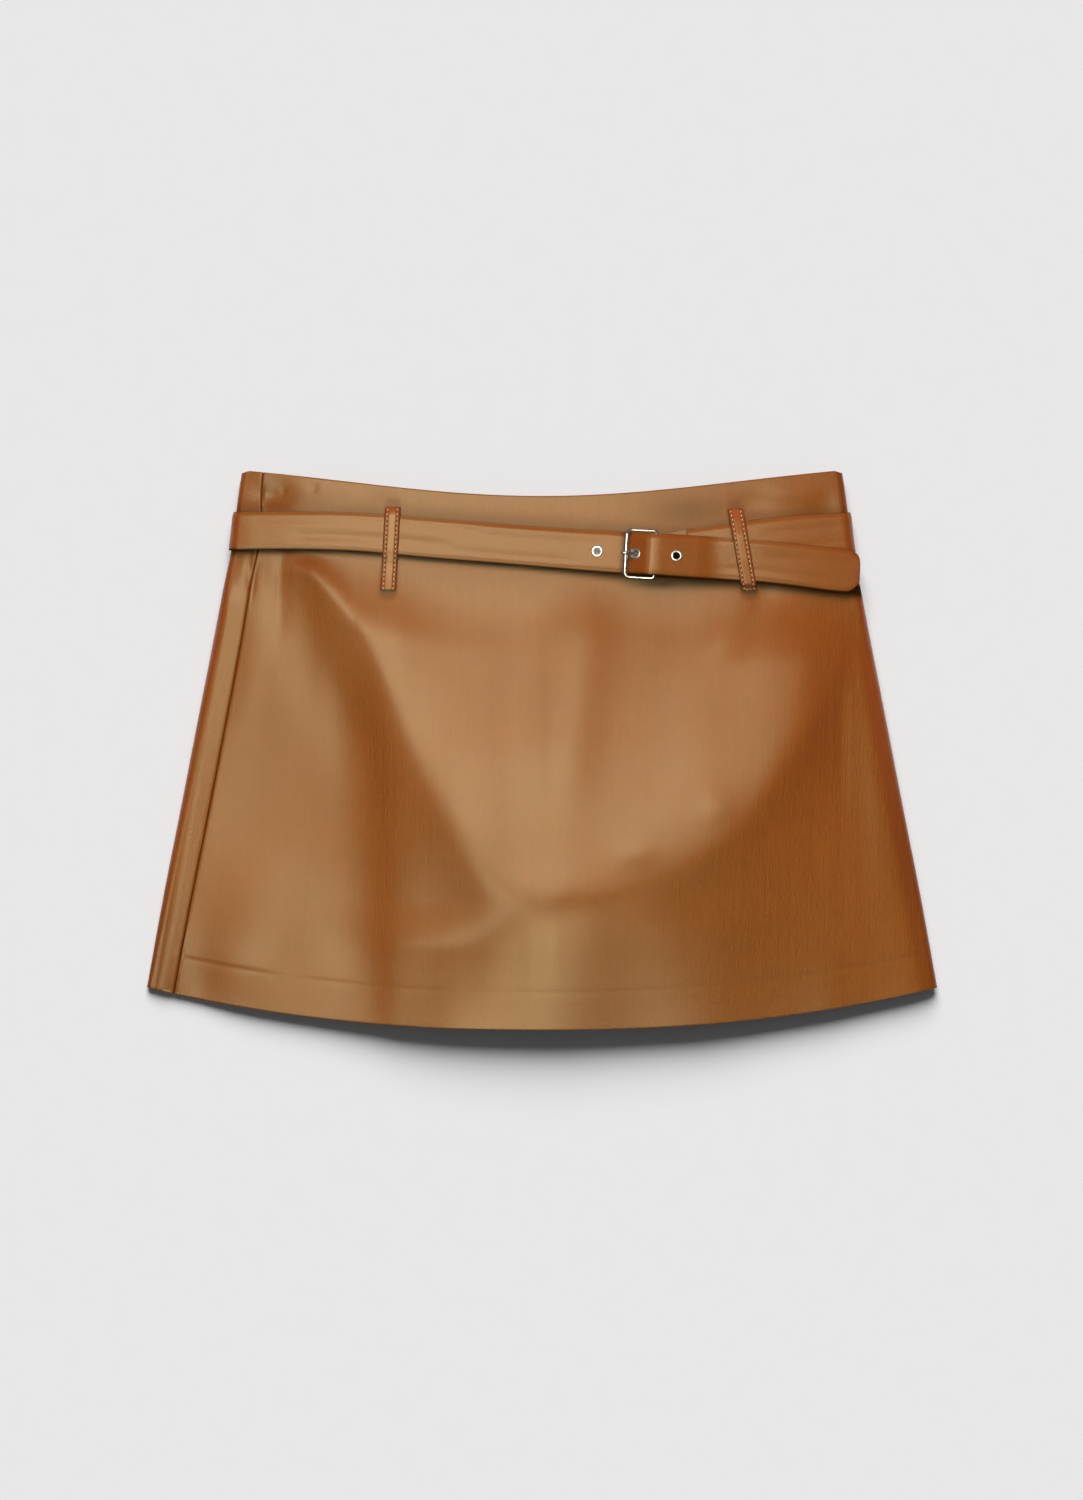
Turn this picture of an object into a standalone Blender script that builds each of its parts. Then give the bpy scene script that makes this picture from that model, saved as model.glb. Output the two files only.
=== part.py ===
"""Short skort with a buckled belt, laid flat on its back.

Frame: +Z up from the surface it lies on, +X across the garment (seen from above,
to the right), +Y from hem to waist. Sizes below are millimetres.
"""
import math

import bmesh
import bpy
from mathutils import Vector

MM = 0.001

# ---------------------------------------------------------------- driving sizes
WAIST_Y = 181.95         # waist corner of the side folds
HEM_Y = -154.65          # hem corner of the side folds
WAIST_SAG = 17.0         # how far the waist edge dips at the middle
HEM_SAG = 27.3           # how far the hem drops at the middle
SKIRT_T = 1.5            # skirt wall
SHORTS_T = 1.0           # inner shorts wall
BELT_T = 1.6             # belt strap
LOOP_T = 1.2             # belt loops
LOOP_W = 10.2
GAP = 0.3                # clearance between neighbouring pieces
SHORTS_CLEAR = 0.36      # the same between the shorts and the skirt's back
BACK_LIFT = LOOP_T + GAP + BELT_T + GAP   # back panel rides on belt and loops
LIFT_END = (0.215, 0.31)  # rows between which the back panel comes down flat
SEAM_RIGHT = 17.5        # underside seam, in from the right fold
SHORTS_ROW = 0.88        # row where the shorts legs end
CROTCH_ROW = 0.67
LEG_SPREAD = 8.0         # half gap between the legs at their hems

# half width of the laid skirt; row 0 is the waist, row 1 the hem
HALF_WIDTH = (
    # row, half
    (0.00, 195.4),
    (0.08, 199.0),
    (0.15, 201.8),
    (0.19, 204.7),
    (0.35, 215.3),
    (0.50, 225.2),
    (0.65, 235.0),
    (0.81, 245.7),
    (1.00, 257.4),
)

# distance of the left seam, on the front, from the left fold
SEAM_LEFT = (
    # row, inset
    (0.00, 14.0),
    (0.07, 16.4),
    (0.20, 17.4),
    (1.00, 18.0),
)

# height of the front over the surface at nine places across, left fold to right fold
ACROSS = (-1.0, -0.75, -0.5, -0.25, 0.0, 0.25, 0.5, 0.75, 1.0)
FRONT_HEIGHT = (
    # row,  left fold ... middle ... right fold
    (0.00, (12.0, 15.2, 16.6, 17.2, 17.4, 17.4, 16.8, 15.4, 12.0)),
    (0.10, (12.4, 15.6, 17.0, 17.8, 18.0, 18.0, 17.4, 16.0, 12.4)),
    (0.20, (12.4, 16.2, 17.8, 18.6, 19.0, 19.0, 18.4, 16.8, 12.2)),
    (0.35, (10.8, 15.6, 19.6, 22.4, 23.8, 24.0, 23.6, 20.4, 11.0)),
    (0.50, (9.8, 13.6, 19.0, 26.4, 28.6, 29.0, 28.0, 21.8, 10.4)),
    (0.65, (9.0, 11.8, 17.4, 27.8, 32.2, 32.2, 29.0, 20.4, 10.0)),
    (0.80, (7.8, 11.4, 15.4, 25.0, 32.8, 30.6, 25.6, 18.4, 9.6)),
    (0.90, (6.8, 10.8, 13.2, 20.4, 27.0, 24.8, 21.0, 16.2, 9.2)),
    (1.00, (5.2, 7.6, 10.4, 15.4, 20.0, 17.8, 15.6, 12.8, 9.0)),
)

# how far the inner shorts stay in from the skirt's folds, and how much of its height they fill
SHORTS_SHAPE = (
    # row, inset, fill
    (0.00, 1.85, 0.99),
    (0.20, 1.85, 0.99),
    (0.35, 6.0, 0.80),
    (0.50, 12.5, 0.58),
    (0.70, 25.0, 0.54),
    (0.88, 39.0, 0.55),
)

# belt from the tail's tip, right, to the left fold: centre line, width, and how far
# its lower and upper edge stand off the skirt where nothing else sets the height
BELT_FRONT = (
    # x, y, width, low, high
    (206.4, 115.6, 27.6, 0.5, 2.7),
    (190.0, 117.0, 28.2, 0.5, 2.8),
    (168.0, 119.6, 27.6, 0.6, 3.1),
    (142.0, 122.4, 27.2, 1.0, 3.4),
    (121.0, 123.8, 27.4, 1.6, 2.8),
    (103.0, 125.0, 27.6, 2.2, 2.2),
    (93.0, 125.6, 27.6, 2.2, 2.2),
    (73.4, 126.7, 27.0, 2.2, 2.2),
    (55.4, 127.75, 27.0, 0.3, 0.3),
    (45.5, 128.4, 27.2, 0.3, 0.3),
    (24.7, 129.8, 26.8, 0.3, 0.3),
    (-20.8, 133.3, 26.0, 0.3, 0.3),
    (-72.8, 137.5, 26.0, 0.3, 0.3),
    (-118.3, 141.3, 25.3, 0.3, 0.3),
    (-157.3, 142.4, 24.8, 0.3, 0.3),
    (-190.0, 142.4, 24.6, 0.3, 0.3),
)
# belt under the skirt, and its buckle end coming in from the right fold
BELT_LEFT_Y = 142.2
BELT_LEFT_W = 24.8
BELT_BACK_DIP = 8.0
BELT_RIGHT_Y = 141.4
BELT_RIGHT_W = 26.0
BELT_END = (
    # x, y, width
    (196.0, 141.0, 26.4),
    (161.0, 138.4, 27.0),
    (132.0, 134.6, 27.2),
    (102.7, 130.6, 27.2),
    (84.0, 127.7, 27.2),
    (73.4, 126.7, 26.0),
)

# buckle
BUCKLE_X = 54.4          # outer bar
BUCKLE_LENGTH = 19.0     # bar to bar
HEEL_X = BUCKLE_X + BUCKLE_LENGTH
BUCKLE_Y = 127.75
BUCKLE_TURN = math.radians(-3.4)
WIRE_R = 1.3             # outer bar and heel bar
SIDE_R = 0.85            # the two bars that join them
FRAME_HALF = 15.35       # half height of the wire's centre line
FRAME_CORNER = 3.5       # outer bar's corners, on the centre line
HEEL_CORNER = 2.0        # heel bar's corners
WIRE_Z = GAP + BELT_T + GAP + WIRE_R      # bar centre above the skirt
BEND_R = WIRE_R + GAP + BELT_T            # belt's outer radius round the heel bar
FOLD_TOP = WIRE_Z + BEND_R                # top of the folded end
FOLD_LOW = GAP + 2 * BELT_T + GAP         # the same, where the two layers meet
TAIL_HIGH = FOLD_TOP + GAP
TAIL_OVER = FOLD_LOW + GAP
FOLD_END_X = 96.4

# height of the tail's underside over the skirt near the buckle
TAIL_RISE = (
    # x, height
    (0.0, GAP),
    (56.4, GAP),
    (69.3, TAIL_HIGH),
    (75.0, TAIL_HIGH),
    (81.8, TAIL_OVER),
    (97.0, TAIL_OVER),
    (101.5, GAP + BELT_T + GAP),
    (220.0, GAP + BELT_T + GAP),
)
# height of the folded end's top face over the skirt
FOLD_DROP = (
    # x, height
    (60.0, FOLD_TOP),
    (74.8, FOLD_TOP),
    (81.6, FOLD_LOW),
    (120.0, FOLD_LOW),
)

EYELET_HOLE_R = 2.7
EYELET_BARREL_R = 2.4
EYELET_BORE_R = 2.1
EYELET_FLANGE_R = 3.65
EYELET_FLANGE_T = 0.6
EYELETS = (
    # name, x
    ("eyelet_free_left", 35.8),
    ("eyelet_buckled", 61.3),
    ("eyelet_free_right", 87.0),
)

# front belt loops: their two ends and the heights they pass at, along their length
LOOP_LEFT_TOP = (-96.8, 157.2)
LOOP_LEFT_END = (-99.8, 103.8)
LOOP_LEFT_PATH = (
    # distance from the top end, height
    (0.0, 0.3), (1.4, 0.3), (3.2, 2.2), (32.0, 2.2), (34.2, 0.3), (60.0, 0.3),
)
LOOP_RIGHT_TOP = (125.5, 156.0)
LOOP_RIGHT_END = (134.6, 103.6)
LOOP_RIGHT_PATH = (
    # distance from the top end, height
    (0.0, 0.3), (4.4, 0.3), (8.6, 3.2), (17.0, 5.6), (34.0, 4.6), (49.0, 3.6), (52.0, 0.6), (60.0, 0.6),
)
BACK_LOOP_X = 84.0
BACK_LOOP_REACH = 22.5

TAN = (0.43, 0.19, 0.055, 1.0)
TAN_DEEP = (0.36, 0.15, 0.042, 1.0)
LINING = (0.30, 0.15, 0.06, 1.0)
STEEL = (0.78, 0.77, 0.74, 1.0)

MODEL = "skort"
CUTS = "skort_cutters"


# ---------------------------------------------------------------- small helpers
def lerp(a, b, t):
    return a + (b - a) * t


def smooth(t):
    t = min(1.0, max(0.0, t))
    return t * t * (3.0 - 2.0 * t)


def linear(rows, x, column):
    """Straight interpolation of one column of a table sorted by its first column."""
    rows = sorted(rows)
    if x <= rows[0][0]:
        return rows[0][column]
    for low, high in zip(rows, rows[1:]):
        if x <= high[0]:
            return lerp(low[column], high[column], (x - low[0]) / (high[0] - low[0]))
    return rows[-1][column]


def rounded(rows, x, column, reach):
    """The same, with its corners rounded over the given reach."""
    steps = 6
    total = 0.0
    for i in range(steps + 1):
        weight = 0.5 if i in (0, steps) else 1.0
        total += weight * linear(rows, x + reach * (2.0 * i / steps - 1.0), column)
    return total / steps


def curve_through(xs, ys, x):
    """Smooth curve through the given places."""
    n = len(xs)
    x = min(xs[-1], max(xs[0], x))
    k = 0
    while k < n - 2 and x > xs[k + 1]:
        k += 1

    def slope(i):
        if i == 0:
            return (ys[1] - ys[0]) / (xs[1] - xs[0])
        if i == n - 1:
            return (ys[-1] - ys[-2]) / (xs[-1] - xs[-2])
        before = (ys[i] - ys[i - 1]) / (xs[i] - xs[i - 1])
        after = (ys[i + 1] - ys[i]) / (xs[i + 1] - xs[i])
        share = (xs[i + 1] - xs[i]) / (xs[i + 1] - xs[i - 1])
        return before * share + after * (1.0 - share)

    width = xs[k + 1] - xs[k]
    t = (x - xs[k]) / width
    a, b = ys[k], ys[k + 1]
    da, db = slope(k) * width, slope(k + 1) * width
    return (a * (2 * t ** 3 - 3 * t ** 2 + 1) + da * (t ** 3 - 2 * t ** 2 + t)
            + b * (3 * t ** 2 - 2 * t ** 3) + db * (t ** 3 - t ** 2))


def column(rows, row, index):
    return curve_through([r[0] for r in rows], [r[index] for r in rows], row)


# ---------------------------------------------------------------- form of the skirt
def half_width(row):
    return column(HALF_WIDTH, row, 1)


def front_height(x, row):
    s = x / half_width(row)
    rows = [r[0] for r in FRONT_HEIGHT]
    across = [curve_through(rows, [r[1][i] for r in FRONT_HEIGHT], row) for i in range(len(ACROSS))]
    return curve_through(ACROSS, across, s)


def back_lift(row):
    start, end = LIFT_END
    return BACK_LIFT * (1.0 - smooth((row - start) / (end - start)))


def row_y(x, row):
    """Place along the garment of a point at x on the given row."""
    n = min(1.0, abs(x) / half_width(row))
    waist = 0.55 * (1.0 - n * n) + 0.225 * (1.0 + math.cos(math.pi * n))
    hem = 1.0 - n ** 2.25
    return lerp(WAIST_Y, HEM_Y, row) - lerp(WAIST_SAG * waist, HEM_SAG * hem, row)


def row_at(x, y):
    """The row that passes through x, y."""
    low, high = 0.0, 1.0
    for _ in range(30):
        row = 0.5 * (low + high)
        if row_y(x, row) > y:
            low = row
        else:
            high = row
    return 0.5 * (low + high)


class Tube:
    """A flattened tube: a domed front, two rounded side folds and a level underside."""

    def __init__(self, half, low, top):
        self.half = half
        self.low = low
        self.top = top
        self.cache = {}

    def fold(self, row, side):
        key = (round(row, 7), side)
        if key not in self.cache:
            half, low = self.half(row), self.low(row)
            radius, angle = 4.0, 0.2
            for _ in range(12):
                edge = half - radius * (1.0 - math.sin(angle))
                slope = (self.top(side * edge, row) - self.top(side * (edge - 2.0), row)) / 2.0
                angle = min(0.6, max(0.0, math.atan(-slope)))
                radius = (self.top(side * edge, row) - low) / (1.0 + math.cos(angle))
            self.cache[key] = (edge, radius, angle)
        return self.cache[key]

    def front(self, x, row, off=0.0):
        step = 0.5
        slope = (self.top(x + step, row) - self.top(x - step, row)) / (2.0 * step)
        scale = off / math.hypot(1.0, slope)
        return Vector((x - slope * scale, row_y(x, row), self.top(x, row) + scale))

    def side(self, side, turn, row, off=0.0):
        """Round the fold: turn 0 is its front end, 1 its underside end."""
        _, radius, angle = self.fold(row, side)
        theta = lerp(math.pi / 2.0 - angle, -math.pi / 2.0, turn)
        centre = self.half(row) - radius
        x = side * (centre + radius * math.cos(theta))
        reach = radius + off
        return Vector((side * (centre + reach * math.cos(theta)), row_y(x, row),
                       self.low(row) + radius + reach * math.sin(theta)))

    def under(self, x, row, off=0.0):
        return Vector((x, row_y(x, row), self.low(row) - off))

    def under_edge(self, row, side):
        return self.half(row) - self.fold(row, side)[1]


def shorts_half(row):
    return half_width(row) - rounded(SHORTS_SHAPE, row, 1, 0.03)


def shorts_low(row):
    return back_lift(row) + SKIRT_T + SHORTS_CLEAR


def leg_inset(row):
    """Half gap between the two legs; only the seam's gap above the crotch."""
    below = max(0.0, (row - CROTCH_ROW) / (SHORTS_ROW - CROTCH_ROW))
    return GAP / 2.0 + LEG_SPREAD * below ** 1.5


def shorts_top(x, row):
    fill = rounded(SHORTS_SHAPE, row, 2, 0.03)
    bottom = shorts_low(row) + SHORTS_T
    full = bottom + (front_height(x, row) - SKIRT_T - GAP - bottom) * fill
    closed = bottom + GAP + SHORTS_T
    near = smooth((row - CROTCH_ROW + 0.03) / 0.09)
    inner = 1.0 - smooth((abs(x) - leg_inset(row)) / 26.0)
    return lerp(full, closed, near * inner)


SKIRT = Tube(half_width, back_lift, front_height)
SHORTS = Tube(shorts_half, shorts_low, shorts_top)


def skirt_top(x, y, off=0.0):
    """Point over the front of the skirt at x, y, raised by off."""
    row = row_at(x, y)
    return Vector((x, y, front_height(x, row) + off))


def level_top(x, y):
    """The front's height, carried on straight past the start of the right fold."""
    limit = 184.0
    height = front_height(min(x, limit), row_at(min(x, limit), y))
    return height - 0.10 * max(0.0, x - limit)


def row_near(point_of, y):
    """The row at which a place on the tube has the given y."""
    low, high = 0.0, 0.6
    for _ in range(30):
        row = 0.5 * (low + high)
        if point_of(row).y > y:
            low = row
        else:
            high = row
    return 0.5 * (low + high)


# ---------------------------------------------------------------- scene helpers
def collection(name):
    made = bpy.data.collections.new(name)
    bpy.context.scene.collection.children.link(made)
    return made


def material(name, colour, roughness, metallic=0.0):
    made = bpy.data.materials.new(name)
    made.use_nodes = True
    shader = made.node_tree.nodes["Principled BSDF"]
    shader.inputs["Base Color"].default_value = colour
    shader.inputs["Roughness"].default_value = roughness
    shader.inputs["Metallic"].default_value = metallic
    made.diffuse_color = colour
    return made


def add(name, mesh, home, look=None):
    made = bpy.data.objects.new(name, mesh)
    home.objects.link(made)
    if look:
        mesh.materials.append(look)
    return made


def bent_grid(name, across, along, place, home, look, wall):
    """A grid laid on place(i, j), facing out, with its wall behind it."""
    bm = bmesh.new()
    bmesh.ops.create_grid(bm, x_segments=across, y_segments=along, size=0.5)
    for vertex in bm.verts:
        i = round((vertex.co.x + 0.5) * across)
        j = round((vertex.co.y + 0.5) * along)
        vertex.co = place(i, j) * MM
    mesh = bpy.data.meshes.new(name)
    bm.to_mesh(mesh)
    bm.free()
    mesh.shade_smooth()
    mesh.set_sharp_from_angle(angle=math.radians(40.0))
    made = add(name, mesh, home, look)
    shell = made.modifiers.new("wall", "SOLIDIFY")
    shell.thickness = wall * MM
    shell.offset = -1.0
    shell.use_even_offset = True
    return made


def cutter(name, mesh, home):
    made = add(name, mesh, home)
    made.hide_render = True
    made.display_type = "WIRE"
    return made


def cut(target, tool):
    step = target.modifiers.new("cut_" + tool.name, "BOOLEAN")
    step.operation = "DIFFERENCE"
    step.solver = "EXACT"
    step.object = tool


# ---------------------------------------------------------------- skirt panels
ROWS = (0.0, 0.045, 0.09, 0.135, 0.18, 0.215, 0.25, 0.285, 0.32, 0.37, 0.42, 0.47, 0.52, 0.57,
        0.62, 0.67, 0.72, 0.77, 0.81, 0.85, 0.89, 0.93, 0.965, 1.0)
FOLD_STEPS = 6


def build_front_panel(home, look):
    """Left seam, across the front, round the right fold, to the seam underneath."""
    front_steps = 26

    def place(i, j):
        row = ROWS[len(ROWS) - 1 - j]
        if i <= front_steps:
            left = -half_width(row) + column(SEAM_LEFT, row, 1) + GAP / 2.0
            right = SKIRT.fold(row, 1)[0]
            return SKIRT.front(lerp(left, right, i / front_steps), row)
        if i <= front_steps + FOLD_STEPS:
            return SKIRT.side(1, (i - front_steps) / FOLD_STEPS, row)
        edge = half_width(row) - SEAM_RIGHT + GAP / 2.0
        start = SKIRT.under_edge(row, 1)
        return SKIRT.under(lerp(start, edge, (i - front_steps - FOLD_STEPS) / 2.0), row)

    return bent_grid("front_panel", front_steps + FOLD_STEPS + 2, len(ROWS) - 1, place, home, look, SKIRT_T)


def build_back_panel(home, look):
    """Left seam, round the left fold, along the underside to the right seam."""
    strip_steps = 3
    under_steps = 9

    def place(i, j):
        row = ROWS[j]
        if i <= strip_steps:
            seam = -half_width(row) + column(SEAM_LEFT, row, 1) - GAP / 2.0
            return SKIRT.front(lerp(seam, -SKIRT.fold(row, -1)[0], i / strip_steps), row)
        if i <= strip_steps + FOLD_STEPS:
            return SKIRT.side(-1, (i - strip_steps) / FOLD_STEPS, row)
        start = -SKIRT.under_edge(row, -1)
        edge = half_width(row) - SEAM_RIGHT - GAP / 2.0
        return SKIRT.under(lerp(start, edge, (i - strip_steps - FOLD_STEPS) / under_steps), row)

    steps = strip_steps + FOLD_STEPS + under_steps
    return bent_grid("back_panel", steps, len(ROWS) - 1, place, home, look, SKIRT_T)


# ---------------------------------------------------------------- inner shorts
SHORTS_ROWS = (0.012, 0.09, 0.135, 0.18, 0.215, 0.25, 0.285, 0.32, 0.42, 0.52, 0.61, 0.67, 0.73, 0.80, 0.88)


def build_shorts_panel(name, side, front, home, look):
    """From the centre seam to the side seam in the middle of the fold."""
    flat_steps = 8
    fold_steps = 3
    seam = 0.12      # share of the fold left open at the side seam

    def place(i, j):
        row = SHORTS_ROWS[len(SHORTS_ROWS) - 1 - j] if (side > 0) == front else SHORTS_ROWS[j]
        inner = leg_inset(row)
        if front:
            edge = SHORTS.fold(row, side)[0]
            if i <= flat_steps:
                return SHORTS.front(side * lerp(inner, edge, i / flat_steps), row)
            return SHORTS.side(side, (0.5 - seam) * (i - flat_steps) / fold_steps, row)
        edge = SHORTS.under_edge(row, side)
        if i <= flat_steps:
            return SHORTS.under(side * lerp(inner, edge, i / flat_steps), row)
        return SHORTS.side(side, 1.0 - (0.5 - seam) * (i - flat_steps) / fold_steps, row)

    return bent_grid(name, flat_steps + fold_steps, len(SHORTS_ROWS) - 1, place, home, look, SHORTS_T)


# ---------------------------------------------------------------- belt
def tail_width(x, width):
    """The strap's width, closing in a rounded end at the tip."""
    corner = 9.0
    gone = BELT_FRONT[0][0] - x
    if gone >= corner:
        return width
    return width - 2.0 * (corner - math.sqrt(corner ** 2 - (corner - gone) ** 2))


def tail_point(x, b):
    """Underside of the strap's front run; b runs from its lower edge -1 to its upper 1."""
    y = column(sorted(BELT_FRONT), x, 1)
    width = tail_width(x, column(sorted(BELT_FRONT), x, 2))
    lean = (column(sorted(BELT_FRONT), x + 1.0, 1) - column(sorted(BELT_FRONT), x - 1.0, 1)) / 2.0
    px = x - lean * 0.5 * width * b
    py = y + 0.5 * width * b
    near = rounded(TAIL_RISE, x, 1, 1.2)
    free = lerp(linear(BELT_FRONT, x, 3), linear(BELT_FRONT, x, 4), 0.5 + 0.5 * b)
    mix = smooth((x - 99.0) / 20.0)
    return Vector((px, py, level_top(px, py) + lerp(near, free, mix)))


def buckle_place(x, height, across=0.0):
    """A point in the buckle's own plane: along, above the skirt, across."""
    base = Vector((BUCKLE_X, BUCKLE_Y, skirt_top(BUCKLE_X, BUCKLE_Y).z))
    dx = (skirt_top(BUCKLE_X + 12.0, BUCKLE_Y).z - skirt_top(BUCKLE_X - 4.0, BUCKLE_Y).z) / 16.0
    dy = (skirt_top(BUCKLE_X, BUCKLE_Y + 10.0).z - skirt_top(BUCKLE_X, BUCKLE_Y - 10.0).z) / 20.0
    along = x - BUCKLE_X
    px = along * math.cos(BUCKLE_TURN) - across * math.sin(BUCKLE_TURN)
    py = along * math.sin(BUCKLE_TURN) + across * math.cos(BUCKLE_TURN)
    return base + Vector((px, py, dx * px + dy * py + height))


def end_point(x, b, height):
    y = column(sorted(BELT_END), x, 1)
    width = column(sorted(BELT_END), x, 2)
    lean = (column(sorted(BELT_END), x + 1.0, 1) - column(sorted(BELT_END), x - 1.0, 1)) / 2.0
    px = x - lean * 0.5 * width * b
    loose = skirt_top(px, y + 0.5 * width * b, height)
    square = buckle_place(x, height, 0.5 * width * b)
    return square.lerp(loose, smooth((x - 77.0) / 12.0))


def belt_stations():
    """Places along the strap: a function of b for each, from the tail's tip to the folded end."""
    stations = []
    tail = (206.3, 205.6, 204.2, 201.8, 197.6, 188.0, 174.0, 158.0, 142.0, 128.0, 116.0, 108.0, 102.6,
            101.0, 99.0, 97.0, 95.4, 91.0, 87.0, 83.0, 81.8, 80.6, 76.2, 75.0, 73.8, 70.5, 69.3, 68.1,
            61.3, 57.1, 55.9, 54.7, 50.0, 43.0, 35.8, 28.0, 14.0, -4.0, -22.0, -44.0, -66.0, -88.0,
            -110.0, -132.0, -154.0, -172.0, -186.0)
    for x in tail:
        stations.append(lambda b, x=x: tail_point(x, b))

    def left_y(b):
        return BELT_LEFT_Y + 0.5 * BELT_LEFT_W * b

    def right_y(b):
        return BELT_RIGHT_Y + 0.5 * BELT_RIGHT_W * b

    fold_steps = 7
    for k in range(fold_steps + 1):
        turn = k / fold_steps

        def on_left(b, turn=turn):
            row = row_near(lambda r: SKIRT.side(-1, turn, r), left_y(b))
            return SKIRT.side(-1, turn, row, GAP)
        stations.append(on_left)
    under = (-178.0, -140.0, -100.0, -84.0, -60.0, 0.0, 60.0, 84.0, 100.0, 140.0, 178.0)
    for x in under:
        def below(b, x=x):
            t = 0.5 + 0.5 * x / 190.0
            y = lerp(left_y(b), right_y(b), t) - BELT_BACK_DIP * (1.0 - (x / 190.0) ** 2)
            row = row_near(lambda r: SKIRT.under(x, r), y)
            return SKIRT.under(x, row, GAP)
        stations.append(below)
    for k in range(fold_steps + 1):
        turn = 1.0 - k / fold_steps

        def on_right(b, turn=turn):
            row = row_near(lambda r: SKIRT.side(1, turn, r), right_y(b))
            return SKIRT.side(1, turn, row, GAP)
        stations.append(on_right)
    for x in (194.0, 182.0, 166.0, 148.0, 130.0, 116.0, 102.0, 92.0, 84.0, 78.0):
        stations.append(lambda b, x=x: end_point(x, b, GAP))
    bend_steps = 8
    for k in range(bend_steps + 1):
        theta = math.radians(-90.0 - 180.0 * k / bend_steps)
        x = HEEL_X + BEND_R * math.cos(theta)
        height = WIRE_Z + BEND_R * math.sin(theta)

        stations.append(lambda b, x=x, height=height: end_point(x, b, height))
    for x in (74.8, 76.0, 80.4, 81.6, 82.8, 90.0, FOLD_END_X):
        stations.append(lambda b, x=x: end_point(x, b, rounded(FOLD_DROP, x, 1, 1.2)))
    return stations


def build_belt(home, cuts, look):
    stations = belt_stations()
    across = 4

    def place(i, j):
        return stations[i](2.0 * j / across - 1.0)

    belt = bent_grid("belt_strap", len(stations) - 1, across, place, home, look, BELT_T)

    for name, x in EYELETS:
        base, axis = eyelet_seat(x)
        bm = bmesh.new()
        bmesh.ops.create_cone(bm, cap_ends=True, segments=20, radius1=EYELET_HOLE_R * MM,
                              radius2=EYELET_HOLE_R * MM, depth=(BELT_T + 0.4) * MM)
        mesh = bpy.data.meshes.new("hole_" + name)
        bm.to_mesh(mesh)
        bm.free()
        tool = cutter("hole_" + name, mesh, cuts)
        tool.location = (base + axis * (BELT_T / 2.0)) * MM
        tool.rotation_euler = axis.to_track_quat("Z", "Y").to_euler()
        cut(belt, tool)

    slot_low, slot_high = 0.05, FOLD_TOP + 0.15
    bm = bmesh.new()
    bmesh.ops.create_cube(bm, size=1.0)
    for vertex in bm.verts:
        x = HEEL_X - BEND_R - 0.5 if vertex.co.x < 0 else HEEL_X + BEND_R + 0.6
        height = slot_low if vertex.co.z < 0 else slot_high
        vertex.co = buckle_place(x, height, 1.35 if vertex.co.y > 0 else -1.35) * MM
    mesh = bpy.data.meshes.new("prong_slot")
    bm.to_mesh(mesh)
    bm.free()
    cut(belt, cutter("prong_slot", mesh, cuts))
    return belt


def eyelet_seat(x):
    """Middle of the strap's underside at x, and the strap's normal there."""
    step = 2.0
    base = tail_point(x, 0.0)
    along = tail_point(x + step, 0.0) - tail_point(x - step, 0.0)
    across = tail_point(x, 0.2) - tail_point(x, -0.2)
    return base, along.cross(across).normalized()


def build_eyelet(name, x, home, look):
    """A turned ring: a barrel through the strap under a rounded flange."""
    low = 0.3
    top = BELT_T + 0.08
    profile = (
        # radius, height, from the bore's top outwards and down
        (EYELET_BORE_R, top + EYELET_FLANGE_T * 0.5),
        (EYELET_BORE_R + 0.35, top + EYELET_FLANGE_T),
        (EYELET_FLANGE_R - 0.6, top + EYELET_FLANGE_T * 0.9),
        (EYELET_FLANGE_R, top + 0.05),
        (EYELET_BARREL_R, top),
        (EYELET_BARREL_R, low),
        (EYELET_BORE_R, low),
    )
    bm = bmesh.new()
    ring = [bm.verts.new((radius * MM, 0.0, height * MM)) for radius, height in profile]
    for k, vertex in enumerate(ring):
        bm.edges.new((vertex, ring[(k + 1) % len(ring)]))
    mesh = bpy.data.meshes.new(name)
    bm.to_mesh(mesh)
    bm.free()
    made = add(name, mesh, home, look)
    turn = made.modifiers.new("turn", "SCREW")
    turn.steps = 24
    turn.render_steps = 24
    turn.use_merge_vertices = True
    turn.merge_threshold = 0.00001
    turn.use_normal_calculate = True
    base, axis = eyelet_seat(x)
    made.location = base * MM
    made.rotation_euler = axis.to_track_quat("Z", "Y").to_euler()
    return made


# ---------------------------------------------------------------- buckle
def wire(name, points, radii, closed, depth, home, look):
    """A round wire along the points."""
    data = bpy.data.curves.new(name, "CURVE")
    data.dimensions = "3D"
    data.bevel_depth = depth * MM
    data.bevel_resolution = 3
    data.use_fill_caps = True
    spline = data.splines.new("POLY")
    spline.points.add(len(points) - 1)
    for point, place, radius in zip(spline.points, points, radii):
        point.co = (*(place * MM), 1.0)
        point.radius = radius
    spline.use_cyclic_u = closed
    spline.use_smooth = True
    data.materials.append(look)
    made = bpy.data.objects.new(name, data)
    home.objects.link(made)
    return made


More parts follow.
